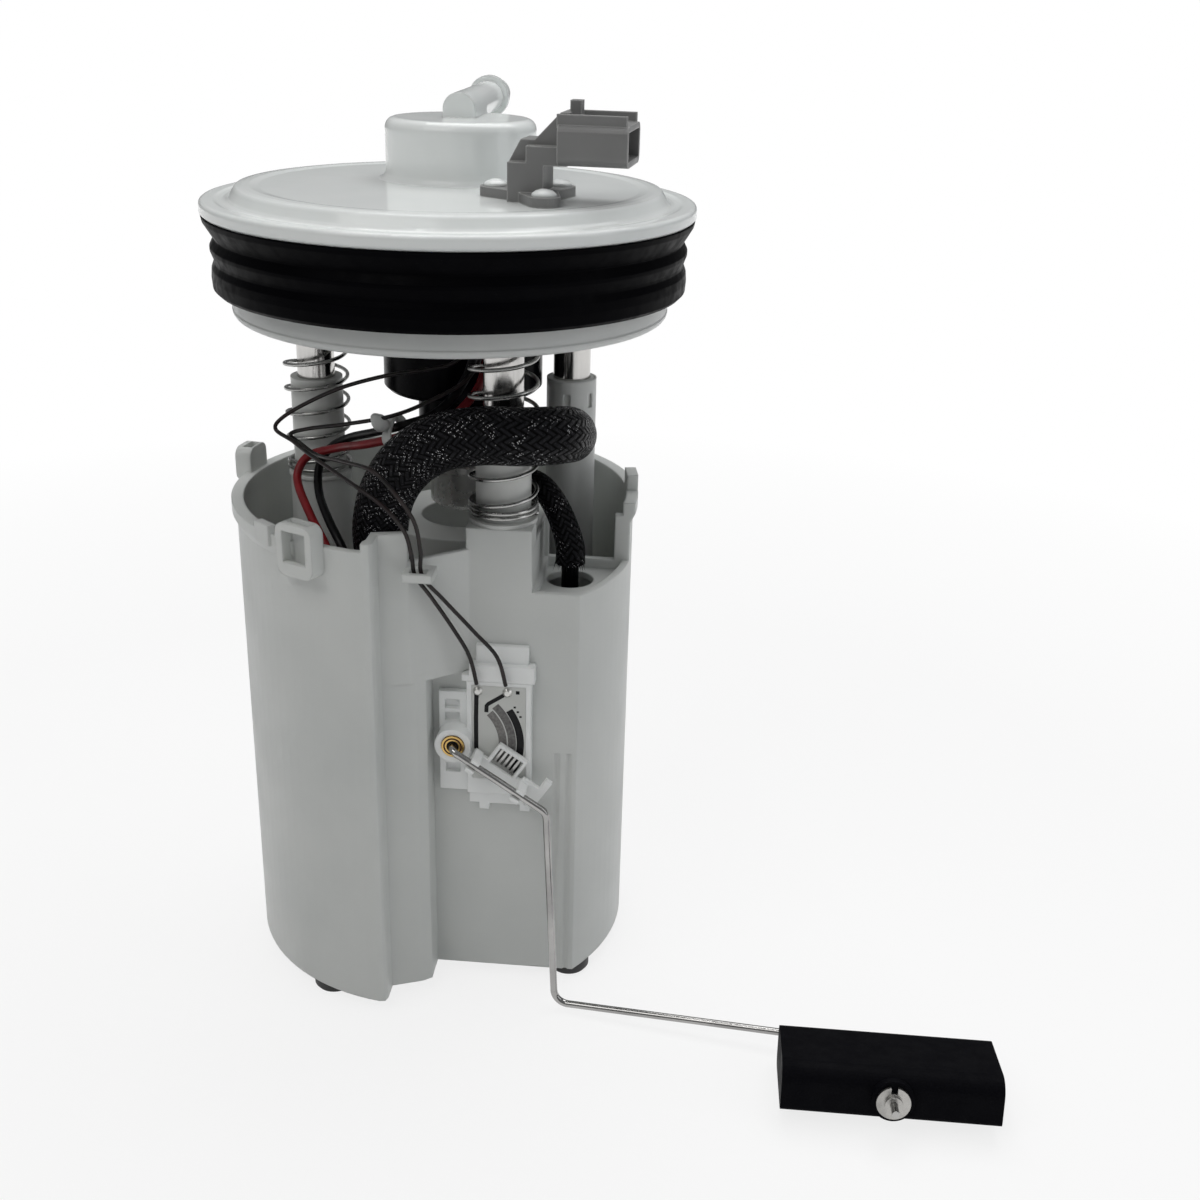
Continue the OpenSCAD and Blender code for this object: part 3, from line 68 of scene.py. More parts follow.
forward = turned((0, math.cos(PITCH), -math.sin(PITCH)))
level_right = turned((1, 0, 0))
level_up = turned((0, math.sin(PITCH), math.cos(PITCH)))
right = level_right * math.cos(ROLL) - level_up * math.sin(ROLL)
up = level_right * math.sin(ROLL) + level_up * math.cos(ROLL)
cam = bpy.data.objects.new("camera", bpy.data.cameras.new("camera"))
scene.collection.objects.link(cam)
cam.data.sensor_width = SENSOR_MM
cam.data.lens = LENS_MM
cam.matrix_world = Matrix([(right[i], up[i], -forward[i], CAMERA_AT[i]) for i in range(3)] + [(0, 0, 0, 1)])
scene.camera = cam


# ---------------------------------------------------------------- material tools
def feed(tree, value, sock):
    """Put a number, a colour or another node's output into a socket."""
    if hasattr(value, "is_linked"):
        tree.links.new(value, sock)
    else:
        sock.default_value = value


class Mat:
    """A node material with short calls. Its textures use object coordinates."""

    def __init__(self, name):
        self.m = bpy.data.materials.new(name)
        self.m.use_nodes = True
        self.t = self.m.node_tree
        self.b = self.t.nodes["Principled BSDF"]
        self.c = self.node("ShaderNodeTexCoord").outputs["Object"]

    def node(self, kind, **props):
        n = self.t.nodes.new(kind)
        for k, v in props.items():
            setattr(n, k, v)
        return n

    def link(self, a, b):
        self.t.links.new(a, b)

    def set(self, **values):
        for k, v in values.items():
            self.b.inputs[k.replace("_", " ")].default_value = v

    def noise(self, scale, detail=4.0, rough=0.5, coords=None):
        n = self.node("ShaderNodeTexNoise")
        n.inputs["Scale"].default_value = scale
        n.inputs["Detail"].default_value = detail
        n.inputs["Roughness"].default_value = rough
        self.link(coords or self.c, n.inputs["Vector"])
        return n.outputs["Fac"]

    def remap(self, fac, a, b, lo=0.35, hi=0.65):
        """a where fac is lo, b where it is hi."""
        n = self.node("ShaderNodeMapRange")
        for k, v in zip(("From Min", "From Max", "To Min", "To Max"), (lo, hi, a, b)):
            n.inputs[k].default_value = v
        self.link(fac, n.inputs["Value"])
        return n.outputs["Result"]

    def mix(self, fac, a, b):
        """Colour a where fac is 0, colour b where it is 1."""
        n = self.node("ShaderNodeMix", data_type="RGBA")
        for sock, v in ((n.inputs[6], a), (n.inputs[7], b)):
            feed(self.t, v if hasattr(v, "is_linked") else (*v, 1), sock)
        feed(self.t, fac, n.inputs[0])
        return n.outputs[2]

    def blend(self, fac, a, b):
        """Number a where fac is 0, number b where it is 1."""
        n = self.node("ShaderNodeMix", data_type="FLOAT")
        for sock, v in zip((n.inputs[0], n.inputs[2], n.inputs[3]), (fac, a, b)):
            feed(self.t, v, sock)
        return n.outputs[0]

    def math(self, op, a, b=0.0, c=0.0):
        n = self.node("ShaderNodeMath", operation=op)
        for sock, v in zip(n.inputs, (a, b, c)):
            feed(self.t, v, sock)
        return n.outputs[0]

    def color(self, out):
        self.link(out, self.b.inputs["Base Color"])

    def rough(self, out):
        self.link(out, self.b.inputs["Roughness"])

    def bump(self, height, distance, strength=1.0, bevel=0.0):
        n = self.node("ShaderNodeBump")
        n.inputs["Distance"].default_value = distance
        n.inputs["Strength"].default_value = strength
        self.link(height, n.inputs["Height"])
        if bevel:
            v = self.node("ShaderNodeBevel", samples=6)
            v.inputs["Radius"].default_value = bevel
            self.link(v.outputs["Normal"], n.inputs["Normal"])
        self.link(n.outputs["Normal"], self.b.inputs["Normal"])


def plastic(name, col, col2, rough, bump=0.00004, scale=900, bevel=0.0005, sss=0.0, blotch=35, spec=0.5,
            edge_highlight=None, vary=0.12):
    """Moulded plastic, blotched between two colours, with a highlight painted along its edges in the colour given.
    """
    m = Mat(name)
    body = m.mix(m.remap(m.noise(blotch, 5), 0, 1, lo=0.3, hi=0.7), col, col2)
    if edge_highlight:
        # Painted highlight: the edges turn lighter where the rounded normal leaves the flat one
        soft = m.node("ShaderNodeBevel", samples=8)
        soft.inputs["Radius"].default_value = 0.0007
        flat = m.node("ShaderNodeNewGeometry")
        dot = m.node("ShaderNodeVectorMath", operation="DOT_PRODUCT")
        m.link(soft.outputs["Normal"], dot.inputs[0])
        m.link(flat.outputs["Normal"], dot.inputs[1])
        body = m.mix(m.remap(dot.outputs["Value"], 1, 0, lo=0.80, hi=0.99), body, edge_highlight)
    m.color(body)
    m.rough(m.remap(m.noise(blotch * 3, 4), rough - vary * 0.4, rough + vary * 0.6))
    m.bump(m.noise(scale, 3), bump, 0.6, bevel)
    m.set(Subsurface_Weight=sss, Subsurface_Radius=(1.0, 1.0, 0.95), Subsurface_Scale=0.004, IOR=1.49,
          Specular_IOR_Level=spec)
    return m


def metal(name, col, col2, rough, scale=(1, 1, 1), grain_size=900, relief=0.00002, metallic=1.0):
    """Metal with a fine grain. scale is small along the way that the metal was drawn."""
    m = Mat(name)
    mp = m.node("ShaderNodeMapping")
    mp.inputs["Scale"].default_value = scale
    m.link(m.c, mp.inputs["Vector"])
    grain = m.noise(grain_size, 4, coords=mp.outputs["Vector"])
    m.color(m.mix(m.remap(m.noise(60, 5), 0, 1), col, col2))
    m.rough(m.remap(grain, rough - 0.05, rough + 0.1))
    m.bump(grain, relief, 0.4, 0.0002)
    m.set(Metallic=metallic)
    return m


def seal_rubber():
    m = Mat("seal_rubber")
    m.color(m.mix(m.remap(m.noise(40, 6), 0, 1), (0.0004, 0.0004, 0.0009), (0.0014, 0.0014, 0.0022)))
    m.rough(m.remap(m.noise(300, 5), 0.34, 0.50))
    m.bump(m.noise(2200, 3), 0.00004, 0.5, 0.0005)
    m.set(Specular_IOR_Level=0.025)
    return m


def float_rubber():
    m = Mat("float_rubber")
    pores = m.noise(2600, 4, 0.7)
    m.color(m.mix(m.remap(pores, 0, 1, lo=0.3, hi=0.72), (0.0012, 0.0012, 0.002), (0.0048, 0.0048, 0.0068)))
    m.rough(m.remap(m.noise(200, 5), 0.50, 0.68))
    m.bump(pores, 0.00009, 0.5, 0.0006)
    m.set(Specular_IOR_Level=0.04)
    return m


def braid(name, around, pitch):
    """Woven sleeve: two families of flat strands that cross, two over and two under."""
    m = Mat(name)
    sep = m.node("ShaderNodeSeparateXYZ")
    m.link(m.node("ShaderNodeUVMap").outputs["UV"], sep.inputs[0])
    u = m.math("MULTIPLY", sep.outputs[0], around)
    v = m.math("MULTIPLY", sep.outputs[1], 1.0 / pitch)
    a, b = m.math("ADD", u, v), m.math("SUBTRACT", u, v)
    ridge_a = m.math("ABSOLUTE", m.math("SINE", m.math("MULTIPLY", a, math.pi)))
    ridge_b = m.math("ABSOLUTE", m.math("SINE", m.math("MULTIPLY", b, math.pi)))
    # Which family lies on top changes every second crossing, one step further on each strand
    step = m.math("FLOORED_MODULO", m.math("ADD", m.math("FLOOR", a), m.math("FLOOR", b)), 4.0)
    top = m.math("LESS_THAN", step, 1.5)
    height = m.blend(top, ridge_b, ridge_a)
    # Fine filaments along each strand
    line_a = m.math("SINE", m.math("MULTIPLY", a, math.pi * 10))
    line_b = m.math("SINE", m.math("MULTIPLY", b, math.pi * 10))
    total = m.math("ADD", height, m.math("MULTIPLY", m.blend(top, line_b, line_a), 0.12))
    # Painted shade: the colour darkens from the strand ridges into the gaps between strands and filaments
    base = m.mix(m.remap(total, 0, 1, lo=0.45, hi=1.05), (0.0002, 0.0002, 0.0004), (0.0150, 0.0150, 0.0180))
    # Painted highlights: single bright filaments here and there, put into the colour on the strand ridges
    cells = m.node("ShaderNodeTexVoronoi", feature="F1")
    cells.inputs["Scale"].default_value = 1900
    m.link(m.c, cells.inputs["Vector"])
    painted_glint = m.math("LESS_THAN", cells.outputs["Distance"], 0.27)
    painted_glint = m.math("MULTIPLY", painted_glint, m.remap(m.noise(230, 2), 0, 1, lo=0.50, hi=0.58))
    painted_glint = m.math("MULTIPLY", painted_glint, m.math("GREATER_THAN", height, 0.62))
    m.color(m.mix(painted_glint, base, (0.80, 0.81, 0.82)))
    # The gaps between the strands are rougher
    shine = m.remap(m.noise(700, 4), 0.20, 0.36)
    m.rough(m.math("ADD", shine, m.remap(total, 0.6, 0.0, lo=0.35, hi=0.75)))
    m.bump(total, 0.0006, 1.0)
    m.set(Specular_IOR_Level=0.09)
    return m


def insulation(name, col, col2, spec=0.35):
    """The soft plastic round a wire."""
    m = Mat(name)
    m.color(m.mix(m.remap(m.noise(150, 4), 0, 1), col, col2))
    m.rough(m.remap(m.noise(400, 4), 0.32, 0.5))
    m.bump(m.noise(1800, 3), 0.00003, 0.5)
    m.set(Specular_IOR_Level=spec)
    return m


def ink(name, col, col2, rough=0.45, scale=900):
    """Printed or burnt-in paste, and the painted shadow in the pivot's bush."""
    m = Mat(name)
    m.color(m.mix(m.remap(m.noise(scale, 5), 0, 1), col, col2))
    m.rough(m.remap(m.noise(700, 3), rough - 0.06, rough + 0.08))
    m.bump(m.noise(2500, 3), 0.00003, 0.5)
    m.set(Specular_IOR_Level=0.15)
    return m


# ---------------------------------------------------------------- materials
natural = plastic("natural", (0.665, 0.678, 0.660), (0.600, 0.618, 0.604), 0.42, sss=0.25, bevel=0.0009, blotch=22)
white = plastic("white", (0.91, 0.92, 0.91), (0.86, 0.88, 0.87), 0.36, sss=0.15)
flange_white = plastic("flange_white", (0.83, 0.85, 0.84), (0.79, 0.82, 0.81), 0.09, 0.00001, sss=0.12,
                       bevel=0.0009, vary=0.03, spec=0.45)
# Painted shade: a darker copy of the flange's white for the lower cup under the flange
shaded_skirt_white = plastic("shaded_skirt_white", (0.62, 0.63, 0.62), (0.55, 0.57, 0.56), 0.36, sss=0.15, bevel=0.0007)
# Grey plastic with a highlight painted on its edges
grey = plastic("grey", (0.215, 0.215, 0.212), (0.178, 0.178, 0.177), 0.42, 0.00006, 1300, bevel=0.0004,
               edge_highlight=(0.42, 0.42, 0.41))
black_plastic = plastic("black_plastic", (0.0010, 0.0011, 0.0020), (0.0022, 0.0022, 0.0035), 0.22, spec=0.03)
sleeve_white = plastic("sleeve_white", (0.70, 0.71, 0.69), (0.63, 0.64, 0.62), 0.4, sss=0.1)
tie_grey = plastic("tie_grey", (0.62, 0.63, 0.62), (0.54, 0.55, 0.54), 0.45, sss=0.1)
card_white = plastic("card_white", (0.64, 0.65, 0.62), (0.58, 0.59, 0.57), 0.5, bevel=0.0001)
filter_white = plastic("filter_white", (0.7, 0.68, 0.6), (0.62, 0.6, 0.52), 0.8, 0.0002, 1500)
foot_black = plastic("foot_black", (0.03, 0.03, 0.03), (0.045, 0.045, 0.045), 0.6, 0.0001, 1200)
seal_mat = seal_rubber()
float_mat = float_rubber()
big_braid = braid("big_braid", 25, 0.0021)
small_braid = braid("small_braid", 13, 0.0020)
thin_ins = insulation("thin_ins", (0.003, 0.0025, 0.0025), (0.016, 0.008, 0.008))
red_ins = insulation("red_ins", (0.25, 0.009, 0.014), (0.17, 0.006, 0.009))
black_ins = insulation("black_ins", (0.0015, 0.0015, 0.002), (0.004, 0.004, 0.005), 0.2)
rod_steel = metal("rod_steel", (0.62, 0.61, 0.59), (0.52, 0.51, 0.50), 0.16, (1, 1, 0.05))
wire_steel = metal("wire_steel", (0.44, 0.435, 0.425), (0.31, 0.305, 0.30), 0.14, grain_size=160, relief=0.000004)
spring_steel = metal("spring_steel", (0.46, 0.46, 0.45), (0.33, 0.33, 0.32), 0.24, grain_size=200,
                     relief=0.000005)
can_steel = metal("can_steel", (0.78, 0.77, 0.75), (0.66, 0.65, 0.64), 0.22, grain_size=300, relief=0.000002,
                  metallic=0.7)
zinc = metal("zinc", (0.72, 0.71, 0.68), (0.55, 0.55, 0.53), 0.34)
nut_zinc = metal("nut_zinc", (0.48, 0.47, 0.45), (0.10, 0.10, 0.10), 0.30, grain_size=1500, relief=0.00006)
brass = metal("brass", (0.62, 0.42, 0.15), (0.50, 0.32, 0.10), 0.28)

USES = (
    (natural, "reservoir_canister pump_cradle"),
    (white, "sender_bracket sender_lever"),
    (flange_white, "flange_cover stake_heads"),
    (shaded_skirt_white, "lower_cup"),
    (grey, "pump_inlet_cap pump_outlet_cap jet_pump connector_housing pump_impeller"),
    (black_plastic, "jet_tube filter_housing"),
    (sleeve_white, "guide_sleeve_left guide_sleeve_front guide_sleeve_rear"),
    (tie_grey, "cable_tie"),
    (card_white, "sender_card"),
    (filter_white, "strainer_sock filter_element"),
    (foot_black, "reservoir_feet"),
    (seal_mat, "inlet_valve tank_seal regulator_seal"),
    (float_mat, "float_block"),
    (big_braid, "large_hose"),
    (small_braid, "small_hose"),
    (red_ins, "pump_wire_red"),
    (black_ins, "pump_wire_black sender_wire_left sender_wire_right"),
    (rod_steel, "guide_rod_left guide_rod_front guide_rod_rear"),
    (wire_steel, "float_arm_wire"),
    (spring_steel, "rod_clips spring_left spring_front wiper_contact"),
    (can_steel, "pump_case regulator_can pump_armature"),
    (zinc, "solder_joints connector_terminals"),
    (nut_zinc, "push_nut"),
    (brass, "pump_terminals pivot_bush"),
)
FINISH = {name: mat for mat, names in USES for name in names.split()}
for name, obj in nodes.items():
    if obj.type != "MESH":
        continue
    if not obj.material_slots:
        obj.data.materials.append(FINISH[name].m)
    for slot in obj.material_slots:
        slot.link = "OBJECT"
        slot.material = FINISH[name].m


# ---------------------------------------------------------------- mesh tools
def add(name, verts, faces, mat, smooth=True, uvs=None):
    me = bpy.data.meshes.new(name)
    me.from_pydata([tuple(v) for v in verts], [], faces)
    if uvs:
        layer = me.uv_layers.new(name="UVMap")
        for poly, corners in zip(me.polygons, uvs):
            for loop, uv in zip(poly.loop_indices, corners):
                layer.data[loop].uv = uv
    me.polygons.foreach_set("use_smooth", [smooth] * len(me.polygons))
    me.materials.append(mat.m)
    o = bpy.data.objects.new(name, me)
    scene.collection.objects.link(o)
    return o


def closed_loops(loops, n, base=0):
    """Faces between each loop of n points and the next one, given by the loops' numbers."""
    return [(base + a * n + i, base + a * n + (i + 1) % n, base + b * n + (i + 1) % n, base + b * n + i)
            for a, b in loops for i in range(n)]


def curve(points, steps):
    """Smooth curve in metres through points in mm."""
    p = [Vector(q) for q in points]
    out = []
    for i in range(len(p) - 1):
        a, b, c, d = p[max(i - 1, 0)], p[i], p[i + 1], p[min(i + 2, len(p) - 1)]
        for k in range(steps):
            t = k / steps
            out.append(0.5 * (2 * b + (c - a) * t + (2 * a - 5 * b + 4 * c - d) * t * t
                              + (3 * b - a - 3 * c + d) * t ** 3))
    out.append(p[-1])
    return [q * MM for q in out]


def sweep(name, path, radius, mat, sides=16):
    """Round tube along path. radius is a number or a function of the share of the length.

    The UVs are the share of the way round and the metres along.
    """
    n = len(path)
    lengths = [0.0]
    for i in range(1, n):
        lengths.append(lengths[-1] + (path[i] - path[i - 1]).length)
    verts, last = [], None
    for i in range(n):
        t = (path[min(i + 1, n - 1)] - path[max(i - 1, 0)]).normalized()
        ref = last if last else (Vector((0, 0, 1)) if abs(t.z) < 0.9 else Vector((1, 0, 0)))
        s = (ref - t * ref.dot(t)).normalized()
        last = s
        b = t.cross(s)
        r = radius(lengths[i] / lengths[-1]) if callable(radius) else radius
        for k in range(sides):
            a = 2 * math.pi * k / sides
            verts.append(path[i] + s * (r * math.cos(a)) + b * (r * math.sin(a)))
    faces = closed_loops([(i, i + 1) for i in range(n - 1)], sides)
    uvs = []
    for v0, v1 in zip(lengths, lengths[1:]):
        for k in range(sides):
            u0, u1 = k / sides, (k + 1) / sides
            uvs.append(((u0, v0), (u1, v0), (u1, v1), (u0, v1)))
    for cap in (tuple(range(sides))[::-1], tuple((n - 1) * sides + k for k in range(sides))):
        faces.append(cap)
        uvs.append([(0, 0)] * sides)
    return add(name, verts, faces, mat, True, uvs)


# ---------------------------------------------------------------- springs
SPRING_WIRE_R, SPRING_D = 0.0006, 0.0204
SPRING_TOP = 0.20745
END_RISE = 0.0014
STEPS_A_TURN = 36


def coil(name, node, x, y, z0, turns, closed):
    """Spring from z0 up to the cup. closed is the number of turns that lie together at its lower end."""
    length = SPRING_TOP - z0
    r = SPRING_D / 2 - SPRING_WIRE_R
    n = int(turns * STEPS_A_TURN)
    rise = length - 2 * SPRING_WIRE_R
    open_rise = (rise - END_RISE * (closed + 1)) / (turns - closed - 1)
    path = []
    for i in range(n + 1):
        t = turns * i / n
        if t < closed:
            h = END_RISE * t
        elif t > turns - 1:
            h = rise - END_RISE * (turns - t)
        else:
            h = END_RISE * closed + open_rise * (t - closed)
        a = 2 * math.pi * t
        path.append(Vector((x + r * math.cos(a), y + r * math.sin(a), z0 + SPRING_WIRE_R + h)))
    o = sweep(name, path, SPRING_WIRE_R, spring_steel, 12)
    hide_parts(node)
    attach(o, "reservoir")
    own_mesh(o)


coil("left_coil", "spring_left", -0.046, 0.015, 0.1525, 9.0, 1.5)
coil("front_coil", "spring_front", 0.019, -0.0270, 0.155, 9.5, 2.6)

# ---------------------------------------------------------------- hoses and wires, on the solids' routes
HOSE = [(-11, -16, 108.2), (-11, -16, 110.7), (-11, -16.2, 113.2), (-12.4, -20, 121), (-13.8, -28, 133),
        (-14.8, -35.8, 144), (-14.2, -40, 154.6), (-10.8, -43.2, 166), (-4.2, -46.8, 175.6), (5, -48.6, 182),
        (16, -49, 184.5), (26.4, -48, 184.5), (34.6, -42, 183.5), (37.2, -32, 181), (36.9, -22, 178),
        (32.6, -13.4, 175), (24.6, -7.6, 171.6), (19.4, -2.4, 170.5), (17.5, -0.5, 170.4)]
SMALL = [(11.9, 5.7, 151), (13.5, 4.2, 151.1), (16, 2, 153.2), (19.8, -1.4, 156.6), (25, -6, 158.3),
         (29.6, -10, 156.4), (33.6, -13.4, 151.6), (36.4, -15.6, 145.6), (37.6, -16.4, 141), (37.6, -16.4, 139),
         (37.6, -16.4, 137)]
RED = [(29, -21.6, 238.8), (28.4, -21.2, 234), (21, -16, 224), (12.5, -12.8, 213), (12.5, -12.8, 200),
       (10, -17, 189), (2, -26, 181), (-8.7, -31.5, 178.2), (-21, -24, 173), (-32.4, -13, 168),
       (-42.6, -8.2, 163.8), (-46, -9.5, 159.5), (-45, -14, 155.6), (-38.2, -25.5, 150), (-31, -34.5, 142.5),
       (-30.4, -30, 128), (-28.4, -21.6, 119), (-27, -17, 112.7), (-27, -17, 109.8), (-27, -17, 106.9)]
BLACK = [(25, -21.6, 238.8), (24.4, -21, 234), (16.6, -16, 224), (8.6, -13, 213), (8.6, -13, 200),
         (5.5, -16, 190), (-1, -23, 183), (-9.5, -27.5, 180.2), (-20, -18.5, 175), (-30, -8.6, 170),
         (-37, -5, 165.5), (-40.2, -7.2, 160.3), (-38.6, -15, 154.5), (-33, -26, 149.8), (-26.6, -34.2, 143),
         (-25, -31, 131), (-24.8, -20.6, 121), (-27, -11, 112.7), (-27, -11, 109.8), (-27, -11, 106.9)]
THIN_LEFT = [(25.2, -26.2, 238.8), (24.6, -26, 234), (16, -20.6, 223), (8.8, -17, 213), (8.8, -17, 203),
          (4, -18.6, 197), (-3.1, -20, 194.8), (-14, -21, 193), (-28, -20, 188.6), (-40, -17, 182.5),
          (-48, -17, 177.4), (-49.1, -20, 174.8), (-43.1, -24, 172.8), (-36.7, -30, 171), (-27.4, -40.6, 170),
          (-17.2, -52, 169), (-9, -55.6, 164.8), (-4.2, -54.4, 157.8), (-2.8, -52.6, 150), (-2.2, -51.4, 144),
          (1.4, -48, 136.5), (6.6, -44.4, 126), (11.2, -42.8, 116.5), (13.2, -41.9, 107)]
THIN_RIGHT = [(28.8, -26.2, 238.8), (28.2, -26, 234), (20, -20.6, 223), (12.2, -17, 213), (12.2, -17, 203),
          (8, -21, 193), (-3, -27.5, 187), (-12.3, -32.7, 184), (-26, -28, 179.8), (-38, -23, 176.5),
          (-44.6, -20.5, 173.8), (-41.7, -20.8, 171.2), (-35, -26.6, 169.6), (-22.6, -44, 173.6),
          (-12.2, -55, 175), (-5.8, -56.4, 169), (-1.4, -54.8, 161), (-0.3, -52.8, 152), (-0.2, -51.4, 144),
          (5, -47.6, 135.6), (13, -44.6, 125), (19.4, -43, 116.6), (21.8, -41.9, 107)]
HOSE_RADIUS, LEAD_RADIUS, THIN_RADIUS = 0.0079, 0.00128, 0.00059


def flexible(name, node, points, radius, mat, sides=16, steps=8):
    o = sweep(name, curve(points, steps), radius, mat, sides)
    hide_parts(node)
    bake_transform(o)


def small_radius(share):
    """The small sleeve widens towards its loose end."""
    return 0.0035 + 0.001 * share * share


flexible("hose_sleeve", "large_hose", HOSE, HOSE_RADIUS, big_braid, 40, 10)
flexible("small_sleeve", "small_hose", SMALL, small_radius, small_braid, 28, 10)
flexible("red_lead", "pump_wire_red", RED, LEAD_RADIUS, red_ins)
flexible("black_lead", "pump_wire_black", BLACK, LEAD_RADIUS, black_ins)
flexible("sender_lead_left", "sender_wire_left", THIN_LEFT, THIN_RADIUS, thin_ins,
         12)
flexible("sender_lead_right", "sender_wire_right", THIN_RIGHT, THIN_RADIUS, thin_ins,
         12)


def fray():
    """Loose strand ends under the small sleeve."""
    golden_angle = 2.39996
    sleeve_end = Vector((0.0376, -0.0164, 0.1374))
    verts, faces = [], []
    for i in range(46):
        a = i * golden_angle
        r = 0.0043 - 0.0012 * ((i * 7) % 5) / 5
        lean = 0.25 + 0.5 * ((i * 3) % 7) / 7
        long = 0.0012 + 0.0022 * ((i * 5) % 9) / 9
        d = Vector((math.cos(a), math.sin(a), 0))
        side = Vector((-d.y, d.x, 0)) * 0.00011
        root = sleeve_end + d * r
        tip = root + d * (lean * long * 0.6) + Vector((0, 0, -long))
        k = len(verts)
        verts += [root - side, root + side, root + d * 0.0002, tip]
        faces += [(k, k + 1, k + 3), (k + 1, k + 2, k + 3), (k + 2, k, k + 3), (k, k + 2, k + 1)]
    o = add("small_fray", verts, faces, black_ins, False)
    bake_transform(o)


fray()


def cable_tie():
    """Strap round the pump wires with a rounded head."""
    tie_at = (-12, -28, 178.2)
    z_axis = Vector((-0.573, -0.319, 0.754)).normalized()
    x_axis = Vector((0.80, -0.28, 0.49))
    x_axis = (x_axis - z_axis * x_axis.dot(z_axis)).normalized()
    y_axis = z_axis.cross(x_axis)
    place = Matrix([(x_axis[i], y_axis[i], z_axis[i], tie_at[i]) for i in range(3)] + [(0, 0, 0, 1)])
    verts = []

    def put(points):
        k = len(verts)
        verts.extend((place @ Vector(q)) * MM for q in points)
        return k

    # The strap is an oval band
    n = 40
    oval = []
    for i in range(n):
        a = 2 * math.pi * i / n
        c, q = math.cos(a), math.sin(a)
        oval.append(((abs(c) ** 0.7) * math.copysign(1, c), (abs(q) ** 0.7) * math.copysign(1, q)))
    for x, dy, dz in ((-1.5, 5.9, 2.95), (1.5, 5.9, 2.95), (1.5, 5.3, 2.2), (-1.5, 5.3, 2.2)):
        put([(x, y * dy, z * dz) for y, z in oval])
    faces = closed_loops([(k, (k + 1) % 4) for k in range(4)], n)
    # Egg-shaped head: radius and height
    head_y, head_z = -1.9, 3.3
    profile = [(0, 0), (1.5, 0.1), (2.2, 1.0), (2.4, 2.2), (2.1, 3.6), (1.4, 4.8), (0.75, 5.6), (0, 5.8)]
    m = 24
    base = put([(r * math.cos(2 * math.pi * i / m), head_y + r * math.sin(2 * math.pi * i / m), head_z + h)
                for r, h in profile for i in range(m)])
    faces += closed_loops([(k, k + 1) for k in range(len(profile) - 1)], m, base)
    o = add("tie", verts, faces, tie_grey)
    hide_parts("cable_tie")
    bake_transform(o)


cable_tie()

# ---------------------------------------------------------------- prints on the sender's card and its pivot
HUB = (6.3, 87.2)
CARD_Y, BUSH_Y = -40.4, -44.61
CARD_EDGE_X = 26.6


def strip(name, points, width, mat):
    """Flat printed track along points (x, z) in mm."""
    verts, faces = [], []
    n = len(points)
    for i, (x, z) in enumerate(points):
        a, b = points[max(i - 1, 0)], points[min(i + 1, n - 1)]
        d = Vector((b[0] - a[0], b[1] - a[1])).normalized()
        q = (-d.y * width / 2, d.x * width / 2)
        for sgn in (-1, 1):
            for y in (CARD_Y, CARD_Y - 0.03):
                verts.append((MM * (x + sgn * q[0]), MM * y, MM * (z + sgn * q[1])))
    for i in range(n - 1):
        a, b = 4 * i, 4 * i + 4
        faces += [(a + 1, a + 3, b + 3, b + 1), (a, a + 1, b + 1, b), (a + 2, b + 2, b + 3, a + 3)]
    faces += [(0, 2, 3, 1), (4 * n - 4, 4 * n - 3, 4 * n - 1, 4 * n - 2)]
    o = add(name, verts, faces, mat, False)
    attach(o, "reservoir")


def round_hub(r, degrees):
    a = math.radians(degrees)
    return HUB[0] + r * math.cos(a), HUB[1] + r * math.sin(a)


def band(name, r0, r1, a0, a1, mat):
    """Printed arc round the pivot."""
    strip(name, [round_hub((r0 + r1) / 2, a0 + (a1 - a0) * i / 30) for i in range(31)], r1 - r0, mat)


def flat_ring(name, r0, r1, mat):
    """Thin flat ring on the front of the pivot's bush."""
    n = 40
    verts = []
    for r, y in ((r0, BUSH_Y), (r0, BUSH_Y - 0.05), (r1, BUSH_Y - 0.05), (r1, BUSH_Y)):
        for i in range(n):
            x, z = round_hub(r, 360 * i / n)
            verts.append((MM * x, MM * y, MM * z))
    o = add(name, verts, closed_loops([(k, (k + 1) % 4) for k in range(4)], n), mat, False)
    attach(o, "reservoir")


# Painted shadow: a dark flat ring round the bore of the bush
flat_ring("bush_shadow", 1.2, 1.85, ink("bush_painted_shadow", (0.004, 0.003, 0.003), (0.010, 0.008, 0.007), 0.5))
flat_ring("bush_groove", 2.35, 2.8, ink("bush_red", (0.035, 0.010, 0.008), (0.060, 0.018, 0.014)))
track_black = ink("track_black", (0.006, 0.006, 0.007), (0.014, 0.014, 0.015), 0.4)
track_inner = ink("track_inner", (0.17, 0.165, 0.16), (0.26, 0.25, 0.24), 0.4, 1500)
track_outer = ink("track_outer", (0.12, 0.118, 0.115), (0.20, 0.195, 0.19), 0.4, 1500)
band("resistor_inner", 13.2, 15.6, -30, 43, track_inner)
band("resistor_outer", 16.0, 18.4, -30, 45, track_outer)
band("track_arc", 18.6, 20.8, -30, 34, track_black)
strip("track_left", [(12.9, 103.2), (12.7, 95), (12.7, 84.8)], 1.3, track_black)
strip("track_right", [(21.4, 103.4), (16.4, 100), (15.9, 99.4), (15.8, 97.2)], 1.2, track_black)
for i in range(9):
    x, z = round_hub(21.7, 34 - i * 4.6)
    if x < CARD_EDGE_X:
        strip("mark_%d" % i, [(x - 0.35, z), (x + 0.35, z)], 0.6, track_black)
strip("mark_corner", [(24.6, 104.2), (25.7, 104.2)], 1.1, track_black)


# ---------------------------------------------------------------- studio
def area(name, loc, target, size, size_y, power, color=(1, 1, 1)):
    d = bpy.data.lights.new(name, "AREA")
    d.shape, d.size, d.size_y, d.energy, d.color = "RECTANGLE", size, size_y, power, color
    o = bpy.data.objects.new(name, d)
    o.location = loc
    o.rotation_euler = (Vector(target) - Vector(loc)).to_track_quat("-Z", "Y").to_euler()
    scene.collection.objects.link(o)


